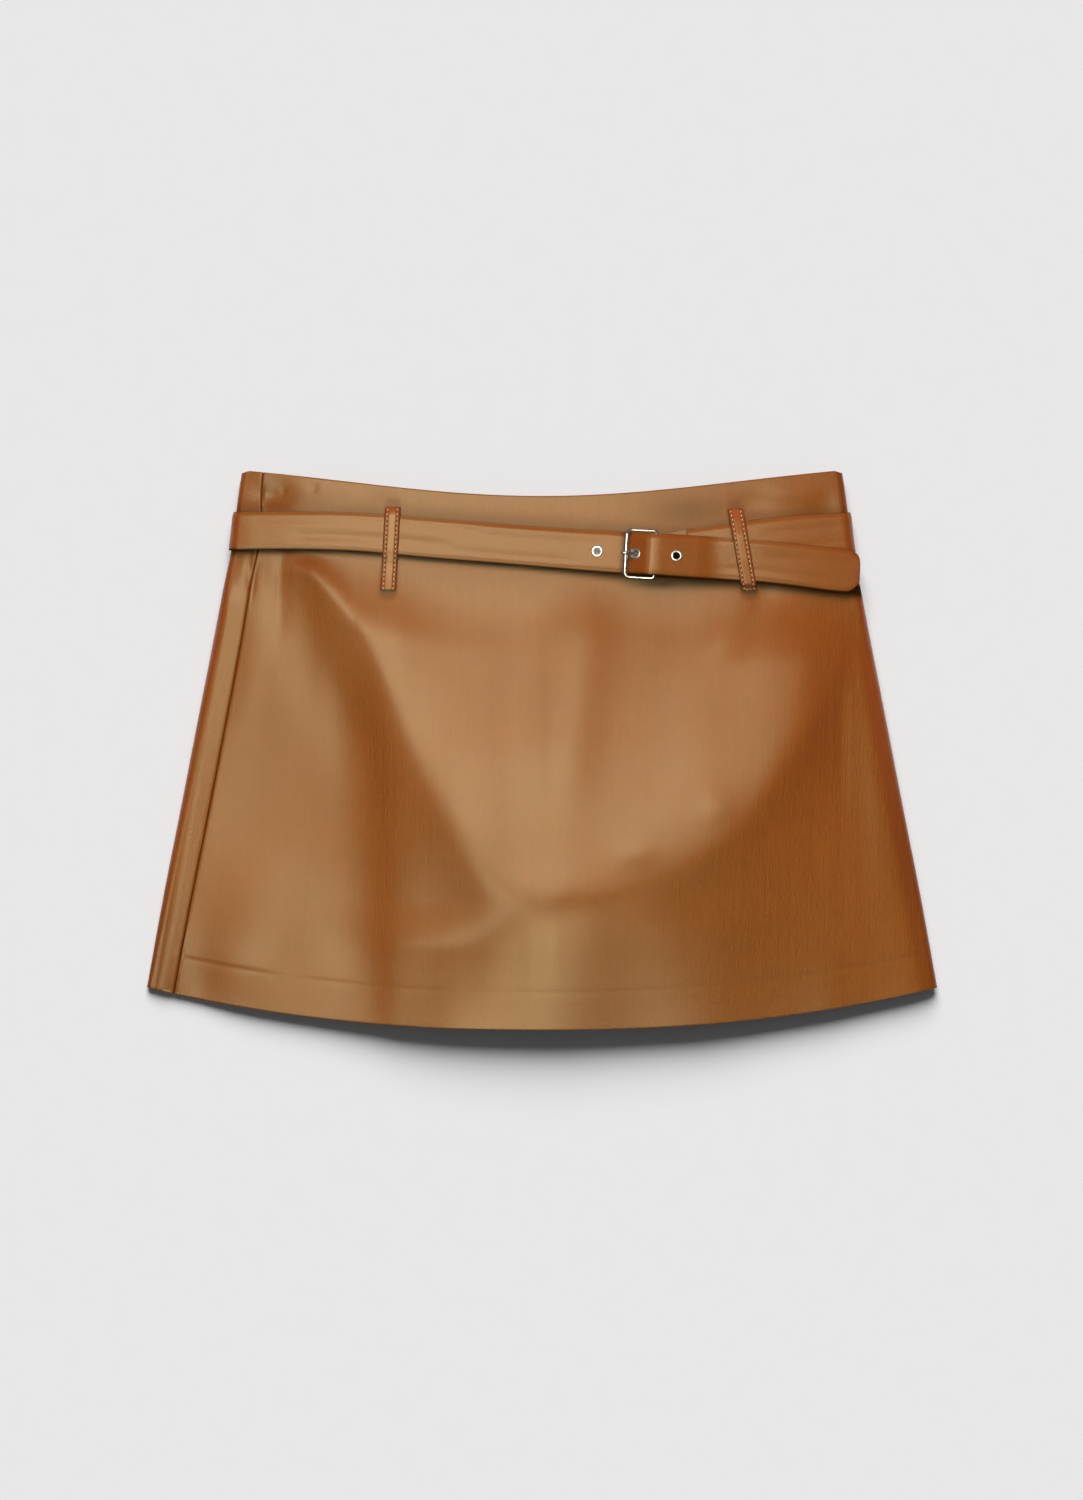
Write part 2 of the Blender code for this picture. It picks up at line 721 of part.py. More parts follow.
def build_buckle_frame(home, look):
    thin = SIDE_R / WIRE_R
    corners = (
        # along, side, radius, first angle, thickness at its start and end
        (BUCKLE_X + FRAME_CORNER, 1.0, FRAME_CORNER, 90.0, thin, 1.0),
        (BUCKLE_X + FRAME_CORNER, -1.0, FRAME_CORNER, 180.0, 1.0, thin),
        (HEEL_X - HEEL_CORNER, -1.0, HEEL_CORNER, 270.0, thin, 1.0),
        (HEEL_X - HEEL_CORNER, 1.0, HEEL_CORNER, 0.0, 1.0, thin),
    )
    steps = 5
    points, radii = [], []
    for x, side, radius, first, start, end in corners:
        for k in range(steps + 1):
            angle = math.radians(first + 90.0 * k / steps)
            points.append(buckle_place(x + radius * math.cos(angle), WIRE_Z,
                                       side * (FRAME_HALF - radius) + radius * math.sin(angle)))
            radii.append(lerp(start, end, k / steps))
    return wire("buckle_frame", points, radii, True, WIRE_R, home, look)


def build_buckle_prong(home, look):
    """Wire curled round the heel bar, then up through the eyelet and over the outer bar."""
    ring = 2.25
    thin = 0.75
    points, radii = [], []
    steps = 14
    for k in range(steps + 1):
        angle = math.radians(lerp(158.0, -90.0, k / steps))
        points.append(buckle_place(HEEL_X + ring * math.cos(angle), WIRE_Z + ring * math.sin(angle)))
        radii.append(thin)
    shank = (
        # x, height, radius
        (70.6, 1.25, 0.78),
        (68.0, 1.25, 0.84),
        (66.2, 1.42, 0.85),
        (64.4, 1.98, 0.85),
        (60.9, 3.74, 0.85),
        (57.8, 5.12, 0.86),
        (55.9, 5.80, 0.88),
        (54.4, 6.08, 0.88),
        (53.0, 6.10, 0.80),
        (52.0, 6.02, 0.66),
        (51.4, 5.96, 0.40),
    )
    for x, height, radius in shank:
        points.append(buckle_place(x, height))
        radii.append(radius)
    return wire("buckle_prong", points, radii, False, 1.0, home, look)


# ---------------------------------------------------------------- belt loops
def build_front_loop(name, start, end, path, home, look):
    length = math.hypot(end[0] - start[0], end[1] - start[1])
    places = sorted({0.0, length} | {min(length, max(0.0, d + s)) for d, _ in path for s in (-1.2, 0.0, 1.2)}
                    | {length * k / 10.0 for k in range(11)})
    kept = [places[0]]
    for place in places[1:]:
        if place - kept[-1] > 0.9:
            kept.append(place)
    kept[-1] = length

    def place(i, j):
        t = kept[j] / length
        x = lerp(start[0], end[0], t) + LOOP_W * (i / 2.0 - 0.5)
        y = lerp(start[1], end[1], t)
        return skirt_top(x, y, rounded(path, kept[j], 1, 1.2))

    return bent_grid(name, 2, len(kept) - 1, place, home, look, LOOP_T)


def build_back_loop(name, side, home, look):
    """Under the belt's hidden run; its ends come back up to the panel."""
    x0 = side * BACK_LOOP_X
    t = 0.5 + 0.5 * x0 / 190.0
    middle = lerp(BELT_LEFT_Y, BELT_RIGHT_Y, t) - BELT_BACK_DIP * (1.0 - (x0 / 190.0) ** 2)
    half = 0.5 * lerp(BELT_LEFT_W, BELT_RIGHT_W, t)
    over = GAP + BELT_T + GAP
    path = ((-40.0, GAP), (-half - 3.4, GAP), (-half - 1.4, over), (half + 1.4, over),
            (half + 3.4, GAP), (40.0, GAP))
    places = (-BACK_LOOP_REACH, -half - 4.8, -half - 3.4, -half - 2.4, -half - 1.4, -half - 0.2,
              -half * 0.5, 0.0, half * 0.5, half + 0.2, half + 1.4, half + 2.4, half + 3.4,
              half + 4.8, BACK_LOOP_REACH)

    def place(i, j):
        x = x0 + LOOP_W * (i / 2.0 - 0.5)
        y = middle + places[j]
        row = row_near(lambda r: SKIRT.under(x, r), y)
        point = SKIRT.under(x, row)
        return Vector((x, y, point.z - rounded(path, places[j], 1, 1.0)))

    return bent_grid(name, 2, len(places) - 1, place, home, look, LOOP_T)


# ---------------------------------------------------------------- build
def build():
    for old in list(bpy.data.objects):
        bpy.data.objects.remove(old, do_unlink=True)
    home = collection(MODEL)
    cuts = collection(CUTS)

    front_look = material("front_leather", TAN, 0.42)
    back_look = material("back_leather", TAN, 0.45)
    belt_look = material("belt_leather", TAN, 0.40)
    frame_look = material("buckle_steel", STEEL, 0.18, 1.0)
    prong_look = material("prong_steel", STEEL, 0.20, 1.0)

    build_front_panel(home, front_look)
    build_back_panel(home, back_look)
    for name, side, front in (("shorts_front_left", -1, True), ("shorts_front_right", 1, True),
                              ("shorts_back_left", -1, False), ("shorts_back_right", 1, False)):
        build_shorts_panel(name, side, front, home, material(name + "_cloth", LINING, 0.8))
    build_belt(home, cuts, belt_look)
    build_front_loop("belt_loop_left", LOOP_LEFT_TOP, LOOP_LEFT_END, LOOP_LEFT_PATH, home,
                     material("loop_left_leather", TAN_DEEP, 0.45))
    build_front_loop("belt_loop_right", LOOP_RIGHT_TOP, LOOP_RIGHT_END, LOOP_RIGHT_PATH, home,
                     material("loop_right_leather", TAN_DEEP, 0.45))
    for name, side in (("back_loop_left", -1), ("back_loop_right", 1)):
        build_back_loop(name, side, home, material(name + "_leather", TAN_DEEP, 0.45))
    build_buckle_frame(home, frame_look)
    build_buckle_prong(home, prong_look)
    for name, x in EYELETS:
        build_eyelet(name, x, home, material(name + "_steel", STEEL, 0.22, 1.0))


build()
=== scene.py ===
import math

import bmesh
import bpy
import numpy as np
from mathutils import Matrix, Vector


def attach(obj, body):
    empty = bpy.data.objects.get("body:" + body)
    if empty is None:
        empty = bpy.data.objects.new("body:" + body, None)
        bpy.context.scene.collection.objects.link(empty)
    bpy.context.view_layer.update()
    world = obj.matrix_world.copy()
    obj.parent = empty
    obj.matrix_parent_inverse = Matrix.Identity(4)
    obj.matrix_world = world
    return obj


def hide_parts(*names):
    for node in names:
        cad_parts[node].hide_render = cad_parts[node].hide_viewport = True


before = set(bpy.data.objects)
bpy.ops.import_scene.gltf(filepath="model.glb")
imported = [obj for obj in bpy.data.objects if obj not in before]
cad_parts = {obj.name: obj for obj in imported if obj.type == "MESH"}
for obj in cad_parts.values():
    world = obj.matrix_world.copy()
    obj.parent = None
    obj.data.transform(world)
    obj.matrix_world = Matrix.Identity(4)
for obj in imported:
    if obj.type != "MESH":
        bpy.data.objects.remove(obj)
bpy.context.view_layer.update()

# Looks of the short skort laid flat on its back. Sizes are millimetres unless a name says
# otherwise; +X across the garment, +Y from hem to waist, +Z up from the floor.
MM = 0.001

# ---------------------------------------------------------------- sizes shared by all pieces
WAIST_Y = 181.95         # waist corner of the side folds
HEM_Y = -154.65          # hem corner of the side folds
WAIST_SAG = 17.0         # how far the waist edge dips at the middle
HEM_SAG = 27.3           # how far the hem drops at the middle
SKIRT_T = 1.5            # walls: skirt, inner shorts, strap and loops
SHORTS_T = 1.0
BELT_T = 1.6
LOOP_T = 1.2
LOOP_W = 10.2
GAP = 0.3                # clearance between neighbouring pieces
SEAM_GAP = 0.04          # the same along the skirt's seams, which look closed
SHORTS_CLEAR = 0.36      # the same between the shorts and the skirt's back
BACK_LIFT = LOOP_T + GAP + BELT_T + GAP   # the back lies on the strap and its loops
LIFT_END = (0.215, 0.31)                  # rows between which it comes down to the floor
SEAM_RIGHT = 17.5        # underside seam, in from the right fold
SHORTS_ROW = 0.88        # row where the legs of the shorts end
CROTCH_ROW = 0.67
LEG_SPREAD = 8.0         # half gap between the legs at their hems

# half width of the laid skirt; row 0 is the waist, row 1 the hem
HALF_WIDTH = (
    # row, half
    (0.00, 195.4),
    (0.08, 199.0),
    (0.15, 201.8),
    (0.19, 204.7),
    (0.35, 215.3),
    (0.50, 225.2),
    (0.65, 235.0),
    (0.81, 245.7),
    (1.00, 257.4),
)

# distance of the left seam, on the front, from the left fold
SEAM_LEFT = (
    # row, inset
    (0.00, 14.0),
    (0.07, 16.4),
    (0.20, 17.4),
    (1.00, 18.0),
)

# height of the front over the floor at nine places across, left fold to right fold
ACROSS = (-1.0, -0.75, -0.5, -0.25, 0.0, 0.25, 0.5, 0.75, 1.0)
FRONT_HEIGHT = (
    # row,  left fold ... middle ... right fold
    (0.00, (12.0, 15.2, 16.6, 17.2, 17.4, 17.4, 16.8, 15.4, 12.0)),
    (0.10, (12.4, 15.6, 17.0, 17.8, 18.0, 18.0, 17.4, 16.0, 12.4)),
    (0.20, (12.4, 16.2, 17.8, 18.6, 19.0, 19.0, 18.4, 16.8, 12.2)),
    (0.35, (10.8, 15.6, 19.6, 22.4, 23.8, 24.0, 23.6, 20.4, 11.0)),
    (0.50, (9.8, 13.6, 19.0, 26.4, 28.6, 29.0, 28.0, 21.8, 10.4)),
    (0.65, (9.0, 11.8, 17.4, 27.8, 32.2, 32.2, 29.0, 20.4, 10.0)),
    (0.80, (7.8, 11.4, 15.4, 25.0, 32.8, 30.6, 25.6, 18.4, 9.6)),
    (0.90, (6.8, 10.8, 13.2, 20.4, 27.0, 24.8, 21.0, 16.2, 9.2)),
    (1.00, (5.2, 7.6, 10.4, 15.4, 20.0, 17.8, 15.6, 12.8, 9.0)),
)

# inner shorts: how far inside the skirt's folds they lie, and how full they are
SHORTS_SHAPE = (
    # row, inset, fill
    (0.00, 1.85, 0.99),
    (0.20, 1.85, 0.99),
    (0.35, 6.0, 0.80),
    (0.50, 12.5, 0.58),
    (0.70, 25.0, 0.54),
    (0.88, 39.0, 0.55),
)

# the strap's front run, left fold to tail: middle line, and how far its two edges stand off
BELT_FRONT = (
    # x, y, width, lower edge's height, upper edge's height
    (-190.0, 142.4, 24.6, 0.3, 0.3),
    (-157.3, 142.4, 24.8, 0.3, 0.3),
    (-118.3, 141.3, 25.3, 0.3, 0.3),
    (-72.8, 137.5, 26.0, 0.3, 0.3),
    (-20.8, 133.3, 26.0, 0.3, 0.3),
    (24.7, 129.8, 26.8, 0.3, 0.3),
    (45.5, 128.4, 27.2, 0.3, 0.3),
    (55.4, 127.75, 27.0, 0.3, 0.3),
    (73.4, 126.7, 27.0, 2.2, 2.2),
    (93.0, 125.6, 27.6, 2.2, 2.2),
    (103.0, 125.0, 27.6, 2.2, 2.2),
    (121.0, 123.8, 27.4, 1.9, 2.8),
    (142.0, 122.4, 27.2, 2.1, 3.1),
    (168.0, 119.6, 27.6, 2.3, 2.8),
    (190.0, 117.0, 28.2, 2.4, 2.6),
    (206.4, 115.6, 27.6, 2.4, 2.5),
)
# where the strap rounds the two side folds, and how far its rear run dips between them
BELT_LEFT_Y = 142.2
BELT_LEFT_W = 24.8
BELT_BACK_DIP = 8.0
BELT_RIGHT_Y = 141.4
BELT_RIGHT_W = 26.0
# the strap's layer under the tail, from the heel bar to the right fold
BELT_END = (
    # x, y, width
    (73.4, 126.7, 26.0),
    (84.0, 127.7, 27.2),
    (102.7, 130.6, 27.2),
    (132.0, 134.6, 27.2),
    (161.0, 138.4, 27.0),
    (196.0, 141.0, 26.4),
)

BUCKLE_X = 54.4          # outer bar
BUCKLE_LENGTH = 19.0     # bar to bar
HEEL_X = BUCKLE_X + BUCKLE_LENGTH
BUCKLE_Y = 127.75
BUCKLE_TURN = math.radians(-3.4)
WIRE_R = 1.3             # heel bar
OUTER_BAR = 1.25         # the outer bar's thickness, as a share of the heel bar's
SIDE_R = 0.85            # the two bars that join them
FRAME_HALF = 15.35       # half height of the wire's centre line
FRAME_CORNER = 3.5       # corners at the outer bar and at the heel bar
HEEL_CORNER = 2.0
WIRE_Z = GAP + BELT_T + GAP + WIRE_R      # bar centre above the skirt
BEND_R = WIRE_R + GAP + BELT_T            # the strap's outer radius round the heel bar
FOLD_TOP = WIRE_Z + BEND_R                # top of the folded end
FOLD_LOW = GAP + 2 * BELT_T + GAP         # the same, where the two layers meet
TAIL_HIGH = FOLD_TOP + GAP
TAIL_OVER = FOLD_LOW + GAP
FOLD_END_X = 96.4

# height of the tail's underside over the skirt, and of the folded end's upper layer
TAIL_RISE = (
    # x, height
    (0.0, GAP),
    (56.4, GAP),
    (69.3, TAIL_HIGH),
    (75.0, TAIL_HIGH),
    (98.0, TAIL_OVER + 0.2),
    (120.0, GAP + BELT_T + GAP),
    (220.0, GAP + BELT_T + GAP),
)
FOLD_DROP = (
    # x, height
    (60.0, FOLD_TOP),
    (74.8, FOLD_TOP),
    (81.6, FOLD_LOW),
    (120.0, FOLD_LOW),
)

# eyelets; the throat is the barrel's inner radius at its foot, narrow where the cloth shows in it
EYELET_HOLE_R = 2.6
EYELET_BARREL_R = 2.35
EYELET_BORE_R = 2.1
EYELET_FLANGE_R = 3.65
EYELET_FLANGE_T = 0.6
EYELETS = (
    # name, x, throat
    ("eyelet_free_left", 35.8, 1.1),
    ("eyelet_buckled", 61.3, 2.1),
    ("eyelet_free_right", 87.0, 2.1),
)

# belt loops: the front two over the strap, the rear two under the back panel
LOOP_LEFT_TOP = (-96.8, 157.2)
LOOP_LEFT_END = (-99.8, 103.8)
LOOP_LEFT_PATH = (
    # distance from the top end, height
    (0.0, 0.3), (0.7, 1.8), (4.2, 2.3), (29.0, 2.2), (35.6, 0.6), (60.0, 0.4),
)
LOOP_RIGHT_TOP = (125.5, 156.0)
LOOP_RIGHT_END = (134.6, 103.6)
LOOP_RIGHT_PATH = (
    # distance from the top end, height
    (0.0, 0.3), (0.7, 1.6), (6.0, 3.9), (17.0, 5.2), (34.0, 4.6), (48.0, 3.4), (52.5, 0.8), (60.0, 0.6),
)
STITCH_IN = 0.31         # stitch lines, as a share of a loop's width from its middle
BACK_LOOP_X = 84.0
BACK_LOOP_REACH = 22.5

# ---------------------------------------------------------------- creases of the cloth
# crest of the broad V-shaped fold under the belt: it falls away outside the V
CREST = (
    # x, y, height, reach inside, reach outside, how softly it turns over
    (-186.0, 186.0, 0.4, 40.0, 20.0, 6.0),
    (-141.5, 118.0, 3.2, 42.0, 25.0, 6.0),
    (-106.5, 64.7, 4.0, 50.0, 29.0, 7.0),
    (-90.0, 19.2, 4.2, 56.0, 31.0, 8.0),
    (-72.0, -20.6, 3.8, 60.0, 22.0, 9.0),
    (-40.6, -67.5, 3.4, 60.0, 22.0, 8.0),
    (-18.2, -92.8, 2.4, 58.0, 22.0, 7.0),
    (-1.3, -101.0, 1.9, 56.0, 22.0, 8.0),
    (11.7, -95.0, 1.9, 54.0, 22.0, 8.0),
    (36.0, -93.0, 2.0, 54.0, 22.0, 8.0),
    (86.0, -74.5, 3.1, 56.0, 22.0, 8.0),
    (131.0, -41.5, 4.2, 56.0, 22.0, 6.0),
    (155.0, -7.5, 4.6, 56.0, 20.0, 7.0),
    (176.0, 30.0, 4.1, 56.0, 18.0, 8.0),
    (192.0, 60.0, 2.4, 56.0, 17.0, 9.0),
    (204.0, 91.0, 0.3, 56.0, 13.0, 8.0),
    (208.0, 124.0, 0.1, 50.0, 13.0, 8.0),
    (216.0, 166.0, 0.0, 50.0, 13.0, 8.0),
)

# how far below the strap the crest takes to come to its height
CREST_RISE = (
    # x, reach
    (-150.0, 16.0),
    (-122.0, 52.0),
    (60.0, 70.0),
    (150.0, 50.0),
)

# soft folds along a line: ridges above 0, troughs below
FOLDS = (
    # line of (x, y), height, reach to its left, reach to its right
    (((-177.5, 134.0), (-180.6, 111.5), (-188.0, 51.0), (-195.6, 21.0), (-203.0, -20.0)), 0.2, 9.0, 8.0),
    (((-167.5, 138.0), (-168.3, 126.0), (-171.0, 85.0), (-174.0, 55.0)), -0.4, 4.5, 6.5),
    (((-160.5, 134.0), (-161.8, 116.0), (-164.0, 93.8)), 0.2, 5.0, 7.0),
    (((-178.0, 146.0), (-172.0, 122.0), (-156.0, 90.0), (-146.0, 58.0), (-129.0, 20.0), (-119.0, -7.0),
      (-104.0, -60.0)), -1.8, 24.0, 17.0),
    (((-66.0, -98.0), (-68.0, -240.0)), 2.6, 56.0, 36.0),
    (((108.0, -90.0), (104.0, -240.0)), 1.2, 42.0, 30.0),
    (((186.0, -110.0), (191.0, -240.0)), 0.4, 14.0, 14.0),
    (((30.0, 114.0), (23.0, 40.0), (15.0, -10.0), (12.0, -80.0)), 1.8, 30.0, 21.0),
    (((92.0, 112.0), (84.0, 50.0), (76.0, -10.0), (66.0, -60.0)), -0.5, 20.0, 18.0),
    (((134.0, 112.0), (122.0, 84.0), (104.0, 50.0)), 0.3, 7.0, 9.0),
    (((150.0, 112.0), (138.0, 82.0), (122.0, 54.0)), -0.4, 7.0, 8.0),
    (((206.0, 80.0), (210.0, 50.0), (214.0, 20.0), (220.0, -20.0), (226.0, -60.0), (233.0, -110.0)),
     2.2, 14.0, 14.0),
    (((188.0, 60.0), (190.0, 10.0), (194.0, -60.0)), -0.5, 12.0, 10.0),
    (((222.0, -40.0), (233.0, -100.0), (242.0, -150.0), (252.0, -205.0), (262.0, -260.0)), 0.9, 20.0, 12.0),
)

# dents and swellings
MOUNDS = (
    # x, y, height, reach across, reach along
    (-182.0, -118.0, 1.3, 34.0, 50.0),
    (-226.0, -160.0, -1.5, 20.0, 44.0),
    (62.0, -67.0, 0.5, 13.0, 10.0),
    (114.0, -37.0, 0.5, 12.0, 12.0),
    (-189.5, 113.0, -0.7, 3.2, 12.0),
    (-167.5, 168.0, -0.5, 2.4, 1.2),
    (-148.0, 170.4, -0.5, 2.2, 1.2),
    (-175.0, 166.0, -1.5, 12.0, 9.0),
    (-103.0, 160.0, -0.35, 10.0, 6.0),
    (136.0, 160.0, -0.45, 14.0, 8.0),
    (160.0, 167.0, 0.35, 17.0, 6.0),
    (183.0, 160.0, -0.45, 9.0, 8.0),
)

HEM_LINE = 25.0          # turned-up hem allowance
HEM_LINE_DEPTH = 0.22


# ---------------------------------------------------------------- small helpers
def lerp(a, b, t):
    return a + (b - a) * t


def smooth(t):
    t = np.clip(t, 0.0, 1.0)
    return t * t * (3.0 - 2.0 * t)


def linear(rows, x, column):
    return np.interp(x, [r[0] for r in rows], [r[column] for r in rows])


def rounded(rows, x, column, reach):
    """Straight interpolation of a table's column, its corners rounded over the reach."""
    steps = 6
    total = 0.0
    for i in range(steps + 1):
        weight = 0.5 if i in (0, steps) else 1.0
        total = total + weight * linear(rows, x + reach * (2.0 * i / steps - 1.0), column)
    return total / steps


def curve_through(xs, ys, x):
    """Smooth curve through the places xs; ys holds one list, or one list for each x asked for."""
    xs = np.asarray(xs, float)
    x = np.clip(np.asarray(x, float), xs[0], xs[-1])
    ys = np.asarray(ys, float)
    lift = (-1,) + (1,) * x.ndim
    if ys.ndim == 1:
        ys = np.broadcast_to(ys.reshape(lift), (len(xs),) + x.shape)
    width = np.diff(xs).reshape(lift)
    rise = np.diff(ys, axis=0) / width
    share = width[1:] / (width[:-1] + width[1:])
    inner = rise[:-1] * share + rise[1:] * (1.0 - share)
    slope = np.concatenate([rise[:1], inner, rise[-1:]])
    k = np.clip(np.searchsorted(xs, x, side="right") - 1, 0, len(xs) - 2)

    def pick(values, index):
        return np.take_along_axis(values, index[None], 0)[0]

    gap = np.diff(xs)[k]
    t = (x - xs[k]) / gap
    a, b = pick(ys, k), pick(ys, k + 1)
    da, db = pick(slope, k) * gap, pick(slope, k + 1) * gap
    return (a * (2 * t ** 3 - 3 * t ** 2 + 1) + da * (t ** 3 - 2 * t ** 2 + t)
            + b * (3 * t ** 2 - 2 * t ** 3) + db * (t ** 3 - t ** 2))


def column(rows, x, index):
    return curve_through([r[0] for r in rows], [r[index] for r in rows], x)


def solve(value_at, target, low, high):
    """Where a falling function of one number meets its target."""
    low = np.full(np.shape(target), float(low))
    high = np.full(np.shape(target), float(high))
    for _ in range(34):
        middle = 0.5 * (low + high)
        above = value_at(middle) > target
        low = np.where(above, middle, low)
        high = np.where(above, high, middle)
    return 0.5 * (low + high)


def stack(x, y, z):
    x, y, z = np.broadcast_arrays(x, y, z)
    return np.stack([x, y, z], axis=-1)


# ---------------------------------------------------------------- form of the skirt
def half_width(row):
    return column(HALF_WIDTH, row, 1)


def front_height(x, row):
    x, row = np.broadcast_arrays(np.asarray(x, float), np.asarray(row, float))
    rows = [r[0] for r in FRONT_HEIGHT]
    across = np.stack([curve_through(rows, [r[1][i] for r in FRONT_HEIGHT], row)
                       for i in range(len(ACROSS))])
    return curve_through(ACROSS, across, x / half_width(row))


def back_lift(row):
    start, end = LIFT_END
    return BACK_LIFT * (1.0 - smooth((row - start) / (end - start)))


def row_y(x, row):
    n = np.minimum(1.0, np.abs(x) / half_width(row))
    waist = 0.55 * (1.0 - n * n) + 0.225 * (1.0 + np.cos(math.pi * n))
    hem = 1.0 - n ** 2.25
    return lerp(WAIST_Y, HEM_Y, row) - lerp(WAIST_SAG * waist, HEM_SAG * hem, row)


def row_at(x, y):
    x, y = np.broadcast_arrays(np.asarray(x, float), np.asarray(y, float))
    return solve(lambda row: row_y(x, row), y, 0.0, 1.0)


def belt_low_edge(x):
    return column(BELT_FRONT, x, 1) - 0.5 * column(BELT_FRONT, x, 2)


def crest_away(x, y, rows):
    """Distance from one arm of the crest, carried on straight past the arm's ends."""
    inner, outer = (rows[-1], rows[-2]) if rows[0] is CREST[0] else (rows[0], rows[1])
    lean_on = (inner[1] - outer[1]) / (inner[0] - outer[0])
    past = np.minimum(0.0, (inner[0] - x) * np.sign(inner[0] - outer[0]))
    middle = column(rows, x, 1) + np.abs(past) * lean_on * np.sign(inner[0] - outer[0])
    lean = (column(rows, x + 4.0, 1) - column(rows, x - 4.0, 1)) / 8.0
    lean = np.where(past < -4.0, lean_on, lean)
    return (y - middle) / np.hypot(1.0, lean)


def crest_fold(x, y):
    """The V-shaped crest: gentle inside, steeper outside."""
    one, other = crest_away(x, y, CREST[:8]), crest_away(x, y, CREST[7:])
    blend = 7.0
    away = np.minimum(one, other) - blend * np.log1p(np.exp(-np.abs(one - other) / blend)) + 2.0
    reach = np.where(away > 0.0, column(CREST, x, 3), column(CREST, x, 4))
    inside = np.interp(x, (CREST[0][0], CREST[0][0] + 12, CREST[-1][0] - 10, CREST[-1][0]), (0, 1, 1, 0))
    soft = column(CREST, x, 5)
    fall = (np.hypot(away, soft) - soft) / reach
    return inside * np.maximum(0.0, column(CREST, x, 2)) * np.exp(-fall)


def soft_fold(x, y, fold):
    line, height, left, right = fold
    ends = np.array(line)
    pieces = np.linalg.norm(np.diff(ends, axis=0), axis=1)
    whole = pieces.sum()
    best = np.full(np.shape(x), 1e9)
    aside = np.zeros(np.shape(x))
    along = np.zeros(np.shape(x))
    start = 0.0
    for (x0, y0), (x1, y1), length in zip(line, line[1:], pieces):
        ux, uy = (x1 - x0) / length, (y1 - y0) / length
        run = np.clip((x - x0) * ux + (y - y0) * uy, 0.0, length)
        off = np.hypot(x - x0 - run * ux, y - y0 - run * uy)
        side = np.sign((x - x0) * uy - (y - y0) * ux)
        near = off < best
        best = np.where(near, off, best)
        aside = np.where(near, off * side, aside)
        along = np.where(near, (start + run) / whole, along)
        start += length
    reach = np.where(aside < 0.0, right, left)
    ends = smooth(along / 0.25 + 0.1) * smooth((1.0 - along) / 0.45)
    return height * ends * np.exp(-(aside / reach) ** 2)


def mound(x, y, row):
    x0, y0, height, across, along = row
    return height * np.exp(-((x - x0) / across) ** 2 - ((y - y0) / along) ** 2)


def strip_crown(x, row):
    """The strip left of the seam is high beside the seam and falls away to the fold."""
    t = np.minimum(13.0, -half_width(row) + column(SEAM_LEFT, row, 1) - x)
    bend = np.interp(row, (0.35, 0.95), (10.5, 5.5))
    crown = 0.07 * t - 0.016 * np.maximum(0.0, t - bend) ** 2
    low = smooth((row - 0.16) / 0.10)
    return np.where(t > 0.0, crown * low - 0.09 * t * (1.0 - low), 0.0)


def creases(x, row):
    """Height of the cloth's creases over the plain front."""
    x, row = np.broadcast_arrays(np.asarray(x, float), np.asarray(row, float))
    y = row_y(x, row)
    low = belt_low_edge(x)
    ridges = crest_fold(x, y) * smooth((low - 1.0 - y) / linear(CREST_RISE, x, 1))
    troughs = np.zeros(np.shape(x))
    for fold in FOLDS:
        value = soft_fold(x, y, fold)
        if fold[1] > 0.0:
            ridges = ridges + value
        else:
            troughs = troughs + value
    for row_of in MOUNDS:
        value = mound(x, y, row_of)
        if row_of[2] > 0.0:
            ridges = ridges + value
        else:
            troughs = troughs + value
    high = low + 27.0
    clear = smooth((low - 0.5 - y) / 7.0) + smooth((y - high - 0.5) / 5.0)
    half = half_width(row)
    seam = -half + column(SEAM_LEFT, row, 1)
    sides = smooth((x - seam + 1.5) / 3.5) * smooth((half - 1.0 - x) / 10.0)
    edge = smooth((WAIST_Y - y) / 3.0 + 1.2)
    return (ridges * clear * sides + troughs * (sides + (x < seam))) * edge + strip_crown(x, row)


def hem_emboss(x, row):
    """Faint pressed line of the hem allowance, with a slight fall below it."""
    below = (row_y(x, row) - row_y(x, 1.0)) - HEM_LINE
    strength = 0.35 + 0.65 * smooth((np.abs(x - 10.0) - 120.0) / 50.0)
    line = np.exp(-(below / 1.1) ** 2) * 0.8 + 0.5 * (1.0 - smooth((below + 1.5) / 3.0))
    return -HEM_LINE_DEPTH * strength * line


SPREAD = (
    # shift across, weight
    (-16.0, 1.0),
    (-8.0, 2.0),
    (0.0, 3.0),
    (8.0, 2.0),
    (16.0, 1.0),
)
SPREAD_ROWS = (-0.022, 0.0, 0.022)


def draped_height(x, row):
    """The front's height, evened out between its measured places as soft cloth is."""
    x, row = np.broadcast_arrays(np.asarray(x, float), np.asarray(row, float))
    free = smooth((0.86 * half_width(row) - np.abs(x)) / 30.0)
    ease = smooth((row - 0.22) / 0.10) * smooth((0.99 - row) / 0.08) * (1.0 + smooth((0.5 - row) / 0.1))
    total = 0.0
    for shift, weight in SPREAD:
        for up in SPREAD_ROWS:
            place = np.clip(row + up * ease, 0.0, 1.0)
            total = total + weight * front_height(x + shift * free, place)
    return total / (len(SPREAD_ROWS) * sum(weight for _, weight in SPREAD))


def creased_height(x, row):
    return draped_height(x, row) + creases(x, row) + hem_emboss(x, row)


